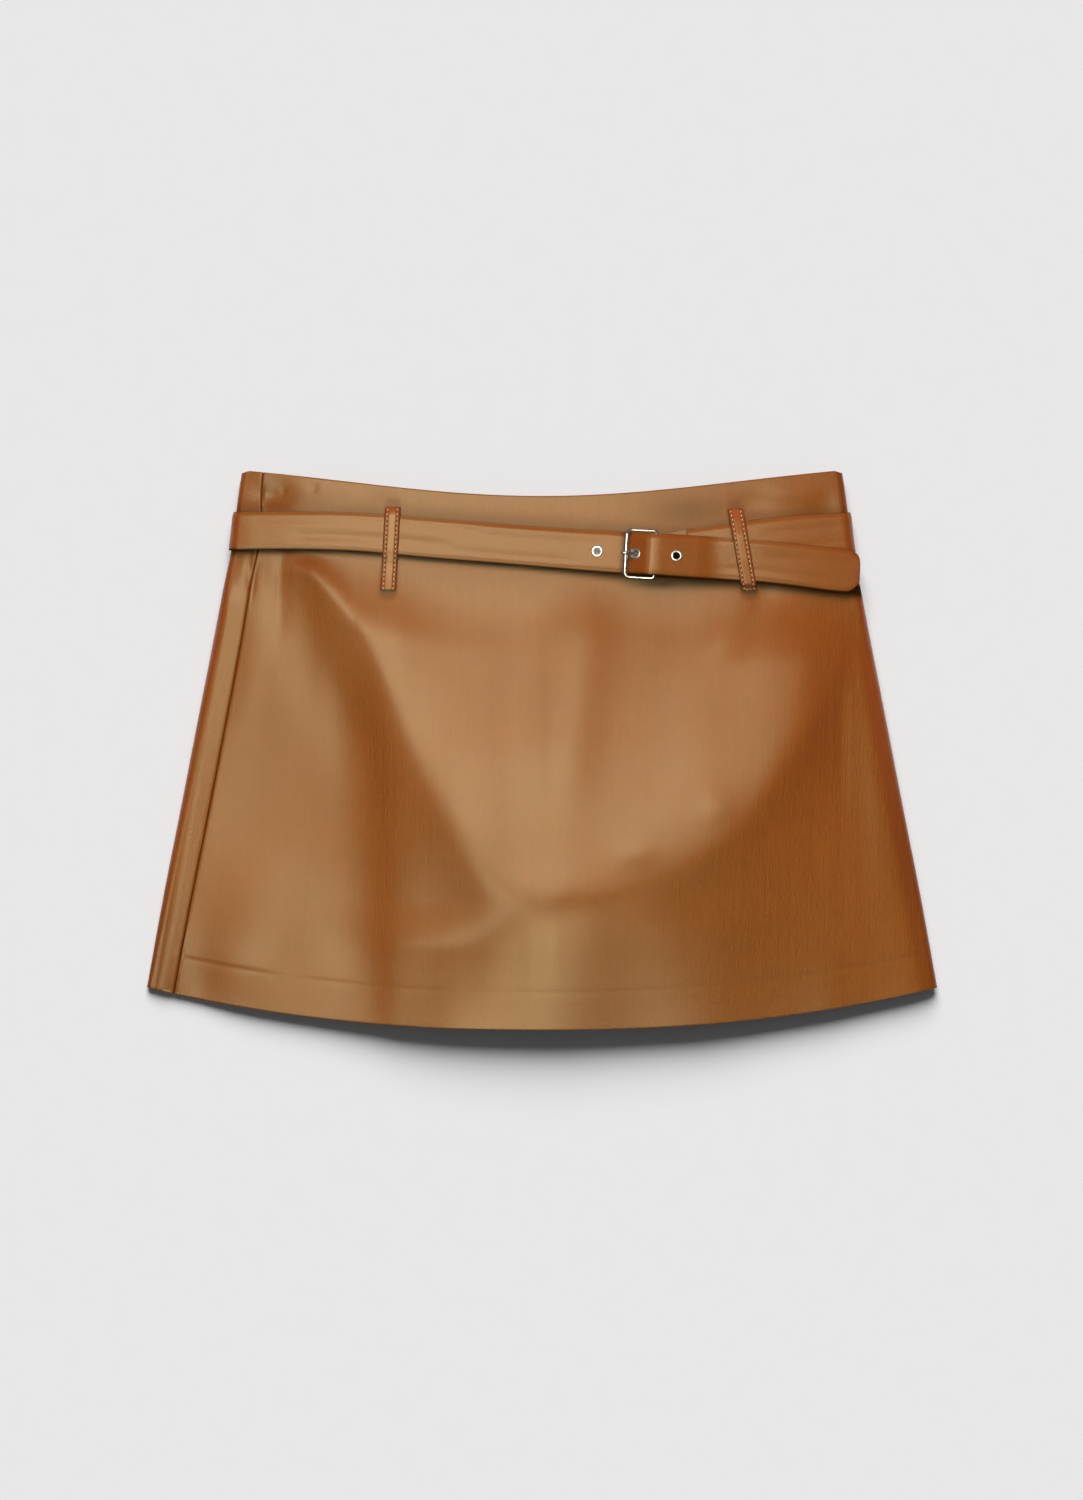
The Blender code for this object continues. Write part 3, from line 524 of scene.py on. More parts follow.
class Tube:
    """A flattened tube: a domed front, two rounded side folds and a level underside."""

    ROWS = np.linspace(0.0, 1.0, 301)

    def __init__(self, half, low, top, corner=0.0):
        self.half = half
        self.corner = corner
        self.low = low
        self.top = top
        self.tables = {side: self.measure(side) for side in (-1, 1)}

    def measure(self, side):
        row = self.ROWS
        half, low = self.half(row), self.low(row)
        radius, angle = np.full_like(row, 4.0), np.full_like(row, 0.2)
        for _ in range(12):
            edge = half - radius * (1.0 - np.sin(angle))
            slope = (self.top(side * edge, row) - self.top(side * (edge - 2.0), row)) / 2.0
            angle = np.clip(np.arctan(-slope), 0.0, 0.6)
            radius = (self.top(side * edge, row) - low) / (1.0 + np.cos(angle))
        return edge, radius, angle

    def fold(self, row, side):
        return tuple(np.interp(row, self.ROWS, values) for values in self.tables[side])

    def settle(self, points, row):
        """Round the two corners of the waist off."""
        inward = self.half(row) - np.abs(points[..., 0])
        points[..., 1] -= self.corner * smooth(1.0 - inward / 6.0) * (1.0 - smooth(row / 0.03))
        return points

    def front(self, x, row, off=0.0):
        step = 0.5
        slope = (self.top(x + step, row) - self.top(x - step, row)) / (2.0 * step)
        scale = off / np.hypot(1.0, slope)
        return self.settle(stack(x - slope * scale, row_y(x, row), self.top(x, row) + scale), row)

    def side(self, side, turn, row, off=0.0):
        """Round the fold: turn 0 is its front end, 1 its underside end."""
        _, radius, angle = self.fold(row, side)
        theta = lerp(math.pi / 2.0 - angle, -math.pi / 2.0, turn)
        centre = self.half(row) - radius
        x = side * (centre + radius * np.cos(theta))
        reach = radius + off
        return self.settle(stack(side * (centre + reach * np.cos(theta)), row_y(x, row),
                                 self.low(row) + radius + reach * np.sin(theta)), row)

    def under(self, x, row, off=0.0):
        return self.settle(stack(x, row_y(x, row), self.low(row) - off), row)

    def under_edge(self, row, side):
        return self.half(row) - self.fold(row, side)[1]


def shorts_half(row):
    return half_width(row) - rounded(SHORTS_SHAPE, row, 1, 0.03)


def shorts_low(row):
    return back_lift(row) + SKIRT_T + SHORTS_CLEAR


def leg_inset(row):
    below = np.maximum(0.0, (row - CROTCH_ROW) / (SHORTS_ROW - CROTCH_ROW))
    return GAP / 2.0 + LEG_SPREAD * below ** 1.5


def shorts_top(x, row):
    fill = rounded(SHORTS_SHAPE, row, 2, 0.03)
    bottom = shorts_low(row) + SHORTS_T
    full = bottom + (front_height(x, row) - SKIRT_T - GAP - bottom) * fill
    closed = bottom + GAP + SHORTS_T
    near = smooth((row - CROTCH_ROW + 0.03) / 0.09)
    inner = 1.0 - smooth((np.abs(x) - leg_inset(row)) / 26.0)
    return lerp(full, closed, near * inner)


SKIRT = Tube(half_width, back_lift, front_height)
CREASED = Tube(half_width, back_lift, creased_height, corner=1.6)
SHORTS = Tube(shorts_half, shorts_low, shorts_top)


def skirt_top(x, y, off=0.0):
    return stack(x, y, front_height(x, row_at(x, y)) + off)


def creased_top(x, y, off=0.0):
    return stack(x, y, creased_height(x, row_at(x, y)) + off)


def level_top(x, y):
    """The front's height, carried on straight past the start of the right fold."""
    limit = 184.0
    near = np.minimum(x, limit)
    return front_height(near, row_at(near, y)) - 0.10 * np.maximum(0.0, x - limit)


# ---------------------------------------------------------------- making a piece
def stand(name, bm):
    """Put a built mesh into the scene as an object of that name."""
    mesh = bpy.data.meshes.new(name)
    bm.to_mesh(mesh)
    bm.free()
    made = bpy.data.objects.new(name, mesh)
    bpy.context.scene.collection.objects.link(made)
    return made


def bake(made):
    """Turn the piece's modifiers into a plain mesh."""
    graph = bpy.context.evaluated_depsgraph_get()
    mesh = bpy.data.meshes.new_from_object(made.evaluated_get(graph), depsgraph=graph)
    made.modifiers.clear()
    made.data = mesh
    mesh.name = made.name
    return made


def cloth(name, points, wall, looks, rim=0.4, full=None, wear_and_shade=1.6, shade=None):
    """Cloth laid on points[i, j], its wall behind it, with rounded rims and a UV map in metres.
    full[i, j] is the share of the wall's thickness at each point; wear_and_shade is how far the darkening
    of the edges reaches in, which is wear, and on the strap and loops painted shade as well; shade[i, j] is
    painted shade at each point, which darkens and dulls it."""
    across, along = points.shape[0] - 1, points.shape[1] - 1
    bm = bmesh.new()
    bmesh.ops.create_grid(bm, x_segments=across, y_segments=along, size=0.5)
    made = stand(name, bm)
    mesh = made.data
    count = len(mesh.vertices)
    flat = np.empty(count * 3)
    mesh.vertices.foreach_get("co", flat)
    flat = flat.reshape(-1, 3)
    i = np.rint((flat[:, 0] + 0.5) * across).astype(int)
    j = np.rint((flat[:, 1] + 0.5) * along).astype(int)
    mesh.vertices.foreach_set("co", (points[i, j] * MM).ravel())

    u = np.zeros(points.shape[:2])
    v = np.zeros(points.shape[:2])
    u[1:] = np.cumsum(np.linalg.norm(np.diff(points, axis=0), axis=2), axis=0)
    v[:, 1:] = np.cumsum(np.linalg.norm(np.diff(points, axis=1), axis=2), axis=1)
    u -= u[-1:] / 2.0
    rim_gap = np.minimum(np.minimum(u - u[:1], u[-1:] - u), np.minimum(v, v[:, -1:] - v))
    uv = mesh.uv_layers.new(name="Cloth")
    corner = np.empty(len(mesh.loops), dtype=int)
    mesh.loops.foreach_get("vertex_index", corner)
    places = np.stack([u[i, j][corner], v[i, j][corner]], axis=1) * MM
    uv.data.foreach_set("uv", places.ravel())
    # nearness to a rim, for the edges' darkening: wear, and on the strap and loops painted shade
    edge = mesh.attributes.new("edge", "FLOAT", "POINT")
    edge.data.foreach_set("value", np.exp(-rim_gap[i, j] / wear_and_shade))

    # painted shade, kept on the mesh for the material
    if shade is not None:
        painted_shade = mesh.attributes.new("painted_shade", "FLOAT", "POINT")
        painted_shade.data.foreach_set("value", np.broadcast_to(shade, points.shape[:2])[i, j])

    for look in looks:
        mesh.materials.append(look)
    mesh.shade_smooth()
    shell = made.modifiers.new("wall", "SOLIDIFY")
    shell.thickness = wall * MM
    shell.offset = -1.0
    shell.use_even_offset = False
    shell.material_offset = len(looks) - 1
    shell.material_offset_rim = 0
    if full is not None:
        share = made.vertex_groups.new(name="full")
        for index, weight in enumerate(full[i, j]):
            share.add([index], float(min(1.0, weight)), "REPLACE")
        shell.vertex_group = "full"
    if rim:
        round_off = made.modifiers.new("rim", "BEVEL")
        round_off.limit_method = "ANGLE"
        round_off.angle_limit = math.radians(55.0)
        round_off.width = rim * MM
        round_off.segments = 3
        round_off.use_clamp_overlap = True
        round_off.miter_outer = "MITER_ARC"
    return made


def finish_cloth(made):
    bake(made)
    made.data.shade_smooth()
    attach(made, "root")
    return made


# ---------------------------------------------------------------- materials
def group(name, inputs, outputs):
    tree = bpy.data.node_groups.new(name, "ShaderNodeTree")
    for label, kind, value in inputs:
        socket = tree.interface.new_socket(name=label, in_out="INPUT", socket_type=kind)
        if value is not None:
            socket.default_value = value
    for label, kind in outputs:
        tree.interface.new_socket(name=label, in_out="OUTPUT", socket_type=kind)
    start = tree.nodes.new("NodeGroupInput")
    end = tree.nodes.new("NodeGroupOutput")
    return tree, start, end


def maths(tree, operation, a, b=None):
    made = tree.nodes.new("ShaderNodeMath")
    made.operation = operation
    for socket, value in zip(made.inputs, (a, b)):
        if value is None:
            continue
        if isinstance(value, (int, float)):
            socket.default_value = value
        else:
            tree.links.new(value, socket)
    return made.outputs[0]


def noise(tree, vector, scale, detail=2.0, rough=0.5):
    made = tree.nodes.new("ShaderNodeTexNoise")
    made.inputs["Scale"].default_value = scale
    made.inputs["Detail"].default_value = detail
    made.inputs["Roughness"].default_value = rough
    tree.links.new(vector, made.inputs["Vector"])
    return made.outputs["Fac"]


def stretched(tree, vector, scale):
    made = tree.nodes.new("ShaderNodeMapping")
    made.vector_type = "POINT"
    made.inputs["Scale"].default_value = scale
    tree.links.new(vector, made.inputs["Vector"])
    return made.outputs["Vector"]


def build_grain_group():
    """Grain of coated leather: long faint streaks along the cloth, fine pores and broad shading."""
    tree, start, end = group(
        "leather_grain",
        [("Place", "NodeSocketVector", None), ("Streak", "NodeSocketFloat", 1.0),
         ("Pores", "NodeSocketFloat", 1.0)],
        [("Height", "NodeSocketFloat"), ("Tone", "NodeSocketFloat"), ("Gloss", "NodeSocketFloat")])
    place = start.outputs["Place"]
    streak = noise(tree, stretched(tree, place, (1.0, 0.10, 1.0)), 950.0, 2.0, 0.6)
    long_streak = noise(tree, stretched(tree, place, (1.0, 0.05, 1.0)), 330.0, 2.0, 0.5)
    pebble = noise(tree, place, 1500.0, 2.0, 0.6)
    broad = noise(tree, place, 14.0, 3.0, 0.5)
    fleck = noise(tree, place, 90.0, 3.0, 0.6)

    def centred(value, amount):
        return maths(tree, "MULTIPLY", maths(tree, "SUBTRACT", value, 0.5), amount)

    lines = maths(tree, "ADD", centred(streak, 0.55), centred(long_streak, 0.45))
    lines = maths(tree, "MULTIPLY", lines, start.outputs["Streak"])
    pores = maths(tree, "MULTIPLY", centred(pebble, 0.5), start.outputs["Pores"])
    tree.links.new(maths(tree, "ADD", lines, pores), end.inputs["Height"])
    tone = maths(tree, "ADD", maths(tree, "MULTIPLY", lines, 0.5), centred(broad, 0.6))
    tree.links.new(maths(tree, "ADD", tone, centred(fleck, 0.25)), end.inputs["Tone"])
    gloss = maths(tree, "ADD", maths(tree, "MULTIPLY", lines, 0.5), centred(broad, 0.5))
    tree.links.new(gloss, end.inputs["Gloss"])
    return tree


def build_knit_group():
    """Fine knitted ribs with a fuzzy surface."""
    tree, start, end = group(
        "knit_ribs",
        [("Place", "NodeSocketVector", None), ("Ribs", "NodeSocketFloat", 900.0)],
        [("Height", "NodeSocketFloat"), ("Tone", "NodeSocketFloat")])
    place = start.outputs["Place"]
    split = tree.nodes.new("ShaderNodeSeparateXYZ")
    tree.links.new(place, split.inputs[0])
    across = maths(tree, "MULTIPLY", split.outputs["X"], start.outputs["Ribs"])
    along = maths(tree, "MULTIPLY", split.outputs["Y"], start.outputs["Ribs"])
    ribs = maths(tree, "SINE", maths(tree, "MULTIPLY", across, math.tau))
    courses = maths(tree, "SINE", maths(tree, "MULTIPLY", along, math.tau * 0.8))
    weave = maths(tree, "MULTIPLY", ribs, maths(tree, "ADD", maths(tree, "MULTIPLY", courses, 0.35), 0.65))
    fuzz = noise(tree, place, 2600.0, 2.0, 0.7)
    height = maths(tree, "ADD", maths(tree, "MULTIPLY", weave, 0.5), fuzz)
    tree.links.new(height, end.inputs["Height"])
    broad = noise(tree, place, 30.0, 3.0, 0.6)
    tone = maths(tree, "ADD", maths(tree, "MULTIPLY", weave, 0.12), maths(tree, "MULTIPLY", broad, 0.5))
    tree.links.new(tone, end.inputs["Tone"])
    return tree


GRAIN = build_grain_group()
KNIT = build_knit_group()


def surface(name):
    made = bpy.data.materials.new(name)
    made.use_nodes = True
    tree = made.node_tree
    shader = tree.nodes["Principled BSDF"]
    return made, tree, shader


def uv_place(tree):
    made = tree.nodes.new("ShaderNodeUVMap")
    made.uv_map = "Cloth"
    return made.outputs["UV"]


def ramp(tree, value, stops):
    made = tree.nodes.new("ShaderNodeValToRGB")
    elements = made.color_ramp.elements
    while len(elements) < len(stops):
        elements.new(0.5)
    for element, (place, colour) in zip(elements, stops):
        element.position = place
        element.color = (*colour, 1.0)
    tree.links.new(value, made.inputs["Fac"])
    return made.outputs["Color"]


def reach_of(tree, name):
    """How far each place of the cloth has the named effect: "edge", its darkened edges, and
    "painted_shade", its painted shade.
    """
    made = tree.nodes.new("ShaderNodeAttribute")
    made.attribute_name = name
    return made.outputs["Fac"]


def faded(tree, share, first, second):
    """A colour that fades into a plain second one."""
    made = tree.nodes.new("ShaderNodeMix")
    made.data_type = "RGBA"
    made.inputs[7].default_value = (*second, 1.0)
    tree.links.new(share, made.inputs[0])
    tree.links.new(first, made.inputs[6])
    return made.outputs[2]


def bump(tree, height, strength, distance, shader):
    made = tree.nodes.new("ShaderNodeBump")
    made.inputs["Strength"].default_value = strength
    made.inputs["Distance"].default_value = distance
    tree.links.new(height, made.inputs["Height"])
    tree.links.new(made.outputs["Normal"], shader.inputs["Normal"])


SHINE = (1.0, 0.86, 0.26, 1.0)       # warm shine of the leather under its clear coat
LOOP_SHINE = (1.0, 0.82, 0.42, 1.0)
# colour of the painted shade under and beside the strap, round the loops and along edges
PAINTED_SHADE_TAN = (0.040, 0.010, 0.0015)
COAT = 0.62
COAT_ROUGH = 0.26


def leather(name, tans, rough, streak, pores, relief, wear_and_shade_dark=0.3, shine=SHINE):
    """Coated leather: streaky grain, edges darkened by wear and, on the strap and loops, by painted shade,
    and painted shade where the cloth is marked: darker, duller and without its coat.
    """
    made, tree, shader = surface(name)
    grain = tree.nodes.new("ShaderNodeGroup")
    grain.node_tree = GRAIN
    grain.inputs["Streak"].default_value = streak
    grain.inputs["Pores"].default_value = pores
    tree.links.new(uv_place(tree), grain.inputs["Place"])
    deep, body, light = tans
    tone = maths(tree, "ADD", grain.outputs["Tone"], 0.5)
    colour = ramp(tree, tone, ((0.2, deep), (0.5, body), (0.85, light)))
    # edges darkened: wear, and on the strap and loops painted shade as well
    wear_and_shade = maths(tree, "MULTIPLY", reach_of(tree, "edge"), wear_and_shade_dark)
    colour = faded(tree, wear_and_shade, colour, [0.4 * c for c in deep])
    # painted shade: where the cloth is marked, the colour fades to a dark tan, the coat goes and the
    # roughness rises
    painted_shade = reach_of(tree, "painted_shade")
    tree.links.new(faded(tree, painted_shade, colour, PAINTED_SHADE_TAN), shader.inputs["Base Color"])
    coat = maths(tree, "MULTIPLY", maths(tree, "SUBTRACT", 1.0, painted_shade), COAT)
    tree.links.new(coat, shader.inputs["Coat Weight"])
    # painted shade: metallic comes in where the cloth is marked, to take the pale shine away there
    tree.links.new(maths(tree, "MULTIPLY", painted_shade, 0.8), shader.inputs["Metallic"])
    gloss = maths(tree, "ADD", maths(tree, "MULTIPLY", grain.outputs["Gloss"], 0.18), rough)
    gloss = maths(tree, "ADD", gloss, maths(tree, "MULTIPLY", painted_shade, 0.4))
    tree.links.new(gloss, shader.inputs["Roughness"])
    bump(tree, grain.outputs["Height"], 1.0, relief, shader)
    shader.inputs["Specular Tint"].default_value = shine
    shader.inputs["Coat Roughness"].default_value = COAT_ROUGH
    shader.inputs["Coat IOR"].default_value = 1.45
    return made


def knit(name, deep, body, ribs):
    made, tree, shader = surface(name)
    threads = tree.nodes.new("ShaderNodeGroup")
    threads.node_tree = KNIT
    threads.inputs["Ribs"].default_value = ribs
    tree.links.new(uv_place(tree), threads.inputs["Place"])
    tone = maths(tree, "ADD", threads.outputs["Tone"], 0.25)
    tree.links.new(ramp(tree, tone, ((0.2, deep), (0.8, body))), shader.inputs["Base Color"])
    shader.inputs["Roughness"].default_value = 0.85
    shader.inputs["Sheen Weight"].default_value = 0.3
    shader.inputs["Sheen Roughness"].default_value = 0.5
    bump(tree, threads.outputs["Height"], 0.6, 0.0002, shader)
    return made


def polished(name, colour, rough):
    made, tree, shader = surface(name)
    coordinates = tree.nodes.new("ShaderNodeTexCoord")
    place = coordinates.outputs["Object"]
    scratch = noise(tree, stretched(tree, place, (1.0, 0.15, 1.0)), 4000.0, 2.0, 0.6)
    haze = noise(tree, place, 260.0, 3.0, 0.6)
    tint = ramp(tree, haze, ((0.3, [0.86 * c for c in colour]), (0.7, colour)))
    tree.links.new(tint, shader.inputs["Base Color"])
    spread = maths(tree, "ADD", maths(tree, "MULTIPLY", haze, 0.10), rough - 0.05)
    tree.links.new(spread, shader.inputs["Roughness"])
    shader.inputs["Metallic"].default_value = 1.0
    bump(tree, scratch, 0.25, 0.00002, shader)
    return made


def thread(name, deep, body):
    made, tree, shader = surface(name)
    coordinates = tree.nodes.new("ShaderNodeTexCoord")
    twist = noise(tree, coordinates.outputs["Object"], 3800.0, 1.0, 0.5)
    tree.links.new(ramp(tree, twist, ((0.3, deep), (0.7, body))), shader.inputs["Base Color"])
    shader.inputs["Roughness"].default_value = 0.55
    bump(tree, twist, 0.5, 0.0001, shader)
    return made


TAN = ((0.208, 0.036, 0.0036), (0.243, 0.043, 0.0046), (0.284, 0.057, 0.0064))
TAN_LOOP = ((0.22, 0.040, 0.0060), (0.26, 0.050, 0.0080), (0.31, 0.066, 0.011))
SKIN = leather("tan_skin", TAN, 0.42, 1.3, 1.8, 0.00040)
SKIN_BACK = leather("tan_skin_back", TAN, 0.42, 1.3, 1.8, 0.00040)
# the strap's and loops' edges darken far more than the skirt's: wear, with painted shade along them
STRAP = leather("tan_strap", TAN, 0.42, 0.6, 2.0, 0.00040, 0.9)
LOOP = leather("tan_loop", TAN_LOOP, 0.46, 0.4, 1.2, 0.00016, 0.9, LOOP_SHINE)
BACKING = knit("brown_backing", (0.05, 0.024, 0.010), (0.09, 0.045, 0.02), 1100.0)
JERSEY = knit("brown_jersey", (0.16, 0.070, 0.026), (0.24, 0.11, 0.045), 1000.0)
STEEL = polished("polished_steel", (0.64, 0.61, 0.74), 0.22)
RING_STEEL = polished("ring_steel", (0.80, 0.76, 0.95), 0.32)
THREAD = thread("tan_thread", (0.55, 0.30, 0.13), (0.78, 0.50, 0.27))


# ---------------------------------------------------------------- skirt panels
def steps(*runs):
    """Places from one run after another: (from, to, count) each."""
    places = [np.linspace(a, b, n, endpoint=False) for a, b, n in runs]
    return np.concatenate(places + [np.array([runs[-1][1]])])


SEAM_ROLL = 0.32
SEAM_ROLL_REACH = 0.7


def seam_roll(distance):
    """How far cloth turns down where it is sewn, at a distance from the seam."""
    return SEAM_ROLL * np.exp(-(distance / SEAM_ROLL_REACH) ** 1.5)


# rows of the front panel, closest where the strap lies and along the hem
ALONG = steps((0.0, 0.012, 3), (0.012, 0.17, 24), (0.17, 0.30, 26), (0.30, 0.90, 86), (0.90, 0.99, 22),
              (0.99, 1.0, 3))

# upper edge of the strap's layers as they lie together
BELT_TOP_EDGE = (
    # x, y
    (-190.0, 154.7),
    (-118.0, 154.0),
    (25.0, 143.2),
    (60.0, 141.3),
    (96.0, 143.0),
    (130.0, 147.0),
    (165.0, 151.0),
    (200.0, 154.0),
)

# painted shade at a few places: under the waist's edge, a painted shadow below the buckle, and at the lower
# left corner
PAINTED_SHADE_PLACES = (
    # x, y, width to length, reach, depth
    (98.0, 154.0, 2.4, 13.0, 0.34),
    (-150.0, 160.0, 4.0, 8.0, 0.26),
    (-178.0, 167.0, 1.0, 9.0, 0.22),
    (198.0, 174.0, 0.5, 26.0, 0.20),
    (-250.0, -165.0, 0.36, 70.0, 0.26),
    (78.0, 108.5, 6.0, 4.0, 0.8),
)


def beside_line(x, y, start, end):
    """Distance from the straight line between two places."""
    ux, uy = end[0] - start[0], end[1] - start[1]
    share = np.clip(((x - start[0]) * ux + (y - start[1]) * uy) / (ux * ux + uy * uy), 0.0, 1.0)
    return np.hypot(x - start[0] - share * ux, y - start[1] - share * uy)


def dip(distance, depth, reach):
    return depth * np.exp(-(np.maximum(0.0, distance) / reach) ** 2)


UPPER_FACE = 4.2         # the skirt's front is higher than this, its underside lower


def belt_shade(points):
    """Painted shade: a painted shadow along the strap's lower edge, wider where the strap stands off by the
    buckle, and painted shade above the strap, round the loops, along the lower right edge and at a few more
    places.
    """
    x, y = points[..., 0], points[..., 1]
    below = belt_low_edge(x) - y
    above = y - linear(BELT_TOP_EDGE, x, 1)
    clear = np.exp(-((x - 88.0) / 50.0) ** 2)
    under = np.maximum(dip(below, 0.95, 3.2 + 3.6 * clear),
                       dip(below, 0.16 * smooth((150.0 - x) / 30.0), 20.0))
    over = dip(above, 0.34, 8.0)
    shade = np.where(below > -6.0, under, np.where(above > -6.0, over, 0.0))
    # painted shadow round the loops
    for start, end in ((LOOP_LEFT_TOP, LOOP_LEFT_END), (LOOP_RIGHT_TOP, LOOP_RIGHT_END)):
        shade = np.maximum(shade, dip(beside_line(x, y, start, end) - 0.5 * LOOP_W, 0.3, 2.0))
    # painted shade along the lower right edge, darker towards the hem
    edge = np.interp(y, (-180.0, 110.0), (257.0, 203.0)) - x
    shade = np.maximum(shade, dip(edge, 0.2 * smooth((20.0 - y) / 120.0), 9.0))
    # painted shade at the places listed above
    for x0, y0, across, reach, depth in PAINTED_SHADE_PLACES:
        shade = np.maximum(shade, dip(np.hypot((x - x0) / across, y - y0), depth, reach))
    return np.where(points[..., 2] > UPPER_FACE, shade, 0.0)


def build_skirt_front():
    row = ALONG[::-1]
    left = -half_width(row) + column(SEAM_LEFT, row, 1) + SEAM_GAP / 2.0
    right = CREASED.fold(row, 1)[0]
    share = steps((0.0, 0.012, 10), (0.012, 0.05, 12), (0.05, 0.97, 190), (0.97, 1.0, 8))
    x = left[None] + (right - left)[None] * share[:, None]
    front = CREASED.front(x, row[None])
    front[..., 2] -= seam_roll(x - left[None])
    turns = np.linspace(0.0, 1.0, 17)[1:, None]
    fold = CREASED.side(1, turns, row[None])
    start = CREASED.under_edge(row, 1)
    end = half_width(row) - SEAM_RIGHT + SEAM_GAP / 2.0
    under_x = start[None] + (end - start)[None] * np.linspace(0.0, 1.0, 7)[1:, None]
    under = CREASED.under(under_x, row[None])
    points = np.concatenate([front, fold, under])
    return cloth("skirt_front", points, SKIRT_T, [SKIN, BACKING], shade=belt_shade(points))


def build_skirt_back():
    row = steps((0.0, 0.012, 3), (0.012, 0.20, 24), (0.20, 0.32, 20), (0.32, 0.96, 60), (0.96, 1.0, 6))
    seam = -half_width(row) + column(SEAM_LEFT, row, 1) - SEAM_GAP / 2.0
    edge = -CREASED.fold(row, -1)[0]
    share = np.linspace(0.0, 1.0, 19)[:, None]
    x = seam[None] + (edge - seam)[None] * share
    strip = CREASED.front(x, row[None])
    away = seam[None] - x
    strip[..., 2] -= seam_roll(away)
    turns = np.linspace(0.0, 1.0, 17)[1:, None]
    fold = CREASED.side(-1, turns, row[None])
    start = -CREASED.under_edge(row, -1)
    end = half_width(row) - SEAM_RIGHT - SEAM_GAP / 2.0
    under_x = start[None] + (end - start)[None] * np.linspace(0.0, 1.0, 81)[1:, None]
    under = CREASED.under(under_x, row[None])
    points = np.concatenate([strip, fold, under])
    return cloth("skirt_back", points, SKIRT_T, [SKIN_BACK, BACKING], shade=belt_shade(points))


# ---------------------------------------------------------------- inner shorts
def build_shorts(name, side, front):
    rows = steps((0.012, 0.20, 14), (0.20, 0.32, 14), (0.32, 0.60, 22), (0.60, 0.86, 34), (0.86, 0.88, 4))
    if (side > 0) == front:
        rows = rows[::-1]
    seam = 0.12
    inner = leg_inset(rows)
    edge = SHORTS.fold(rows, side)[0] if front else SHORTS.under_edge(rows, side)
    share = np.linspace(0.0, 1.0, 57)[:, None]
    x = side * (inner[None] + (edge - inner)[None] * share)
    flat = SHORTS.front(x, rows[None]) if front else SHORTS.under(x, rows[None])
    turns = np.linspace(0.0, 0.5 - seam, 9)[1:, None]
    if not front:
        turns = 1.0 - turns
    fold = SHORTS.side(side, turns, rows[None])
    points = np.concatenate([flat, fold])
    return cloth(name, points, SHORTS_T, [JERSEY], rim=0.3)


# ---------------------------------------------------------------- belt
def tail_width(x):
    corner = 9.0
    gone = np.clip(BELT_FRONT[-1][0] - x, 0.0, corner)
    return column(BELT_FRONT, x, 2) - 2.0 * (corner - np.sqrt(corner ** 2 - (corner - gone) ** 2))


def tail_point(x, b):
    """Underside of the strap's front run; b runs from its lower edge -1 to its upper 1."""
    y = column(BELT_FRONT, x, 1)
    width = tail_width(x)
    lean = (column(BELT_FRONT, x + 1.0, 1) - column(BELT_FRONT, x - 1.0, 1)) / 2.0
    px = x - lean * 0.5 * width * b
    py = y + 0.5 * width * b
    near = rounded(TAIL_RISE, x, 1, 2.4)
    free = lerp(linear(BELT_FRONT, x, 3), linear(BELT_FRONT, x, 4), 0.5 + 0.5 * b)
    mix = smooth((x - 99.0) / 20.0)
    return stack(px, py, level_top(px, py) + lerp(near, free, mix))


def buckle_place(x, height, across=0.0):
    """A point in the buckle's own plane: along, above the skirt, across."""
    def top(px, py):
        return float(skirt_top(px, py)[2])
    base = np.array([BUCKLE_X, BUCKLE_Y, top(BUCKLE_X, BUCKLE_Y)])
    dx = (top(BUCKLE_X + 12.0, BUCKLE_Y) - top(BUCKLE_X - 4.0, BUCKLE_Y)) / 16.0
    dy = (top(BUCKLE_X, BUCKLE_Y + 10.0) - top(BUCKLE_X, BUCKLE_Y - 10.0)) / 20.0
    along = x - BUCKLE_X
    px = along * math.cos(BUCKLE_TURN) - across * math.sin(BUCKLE_TURN)
    py = along * math.sin(BUCKLE_TURN) + across * math.cos(BUCKLE_TURN)
    return base + stack(px, py, dx * px + dy * py + height)


def end_point(x, b, height):
    y = column(BELT_END, x, 1)
    width = column(BELT_END, x, 2)
    lean = (column(BELT_END, x + 1.0, 1) - column(BELT_END, x - 1.0, 1)) / 2.0
    loose = skirt_top(x - lean * 0.5 * width * b, y + 0.5 * width * b, height)
    square = buckle_place(x, height, 0.5 * width * b)
    mix = smooth((x - 77.0) / 12.0)
    return square + (loose - square) * np.asarray(mix)[..., None]


FRONT_RUN = 8.0          # the strap's front run is higher than this, its rear run lower
STRAP_FULL = 2.1         # thickest place of the padded strap
STRAP_EDGE = 1.4         # thickness at its turned edges

# long soft folds on the strap's face
STRAP_FOLDS = (
    # from x, to x, place across, height, reach across
    (-165.0, -50.0, -0.25, -0.24, 0.26),
    (-200.0, -30.0, 0.60, -0.16, 0.22),
    (-120.0, 30.0, -0.55, -0.12, 0.20),
    (-60.0, 48.0, 0.35, -0.10, 0.22),
    (140.0, 204.0, 0.30, -0.12, 0.20),
    (108.0, 200.0, -0.45, -0.10, 0.16),
)


def strap_full(points, b):
    """Thickness over the strap: crowned, thin at its edges, with long soft folds."""
    x = points[..., 0]
    top = points[..., 2] > FRONT_RUN
    aside = np.abs(np.broadcast_to(b, x.shape))
    crown = STRAP_EDGE + (BELT_T + 0.25 - STRAP_EDGE) * (1.0 - smooth((aside - 0.70) / 0.30) ** 1.5)
    for start, end, place, height, reach in STRAP_FOLDS:
        run = smooth((x - start) / 14.0) * smooth((end - x) / 22.0)
        crown = crown + np.where(top, height * run * np.exp(-((b - place) / reach) ** 2), 0.0)
    return crown / STRAP_FULL


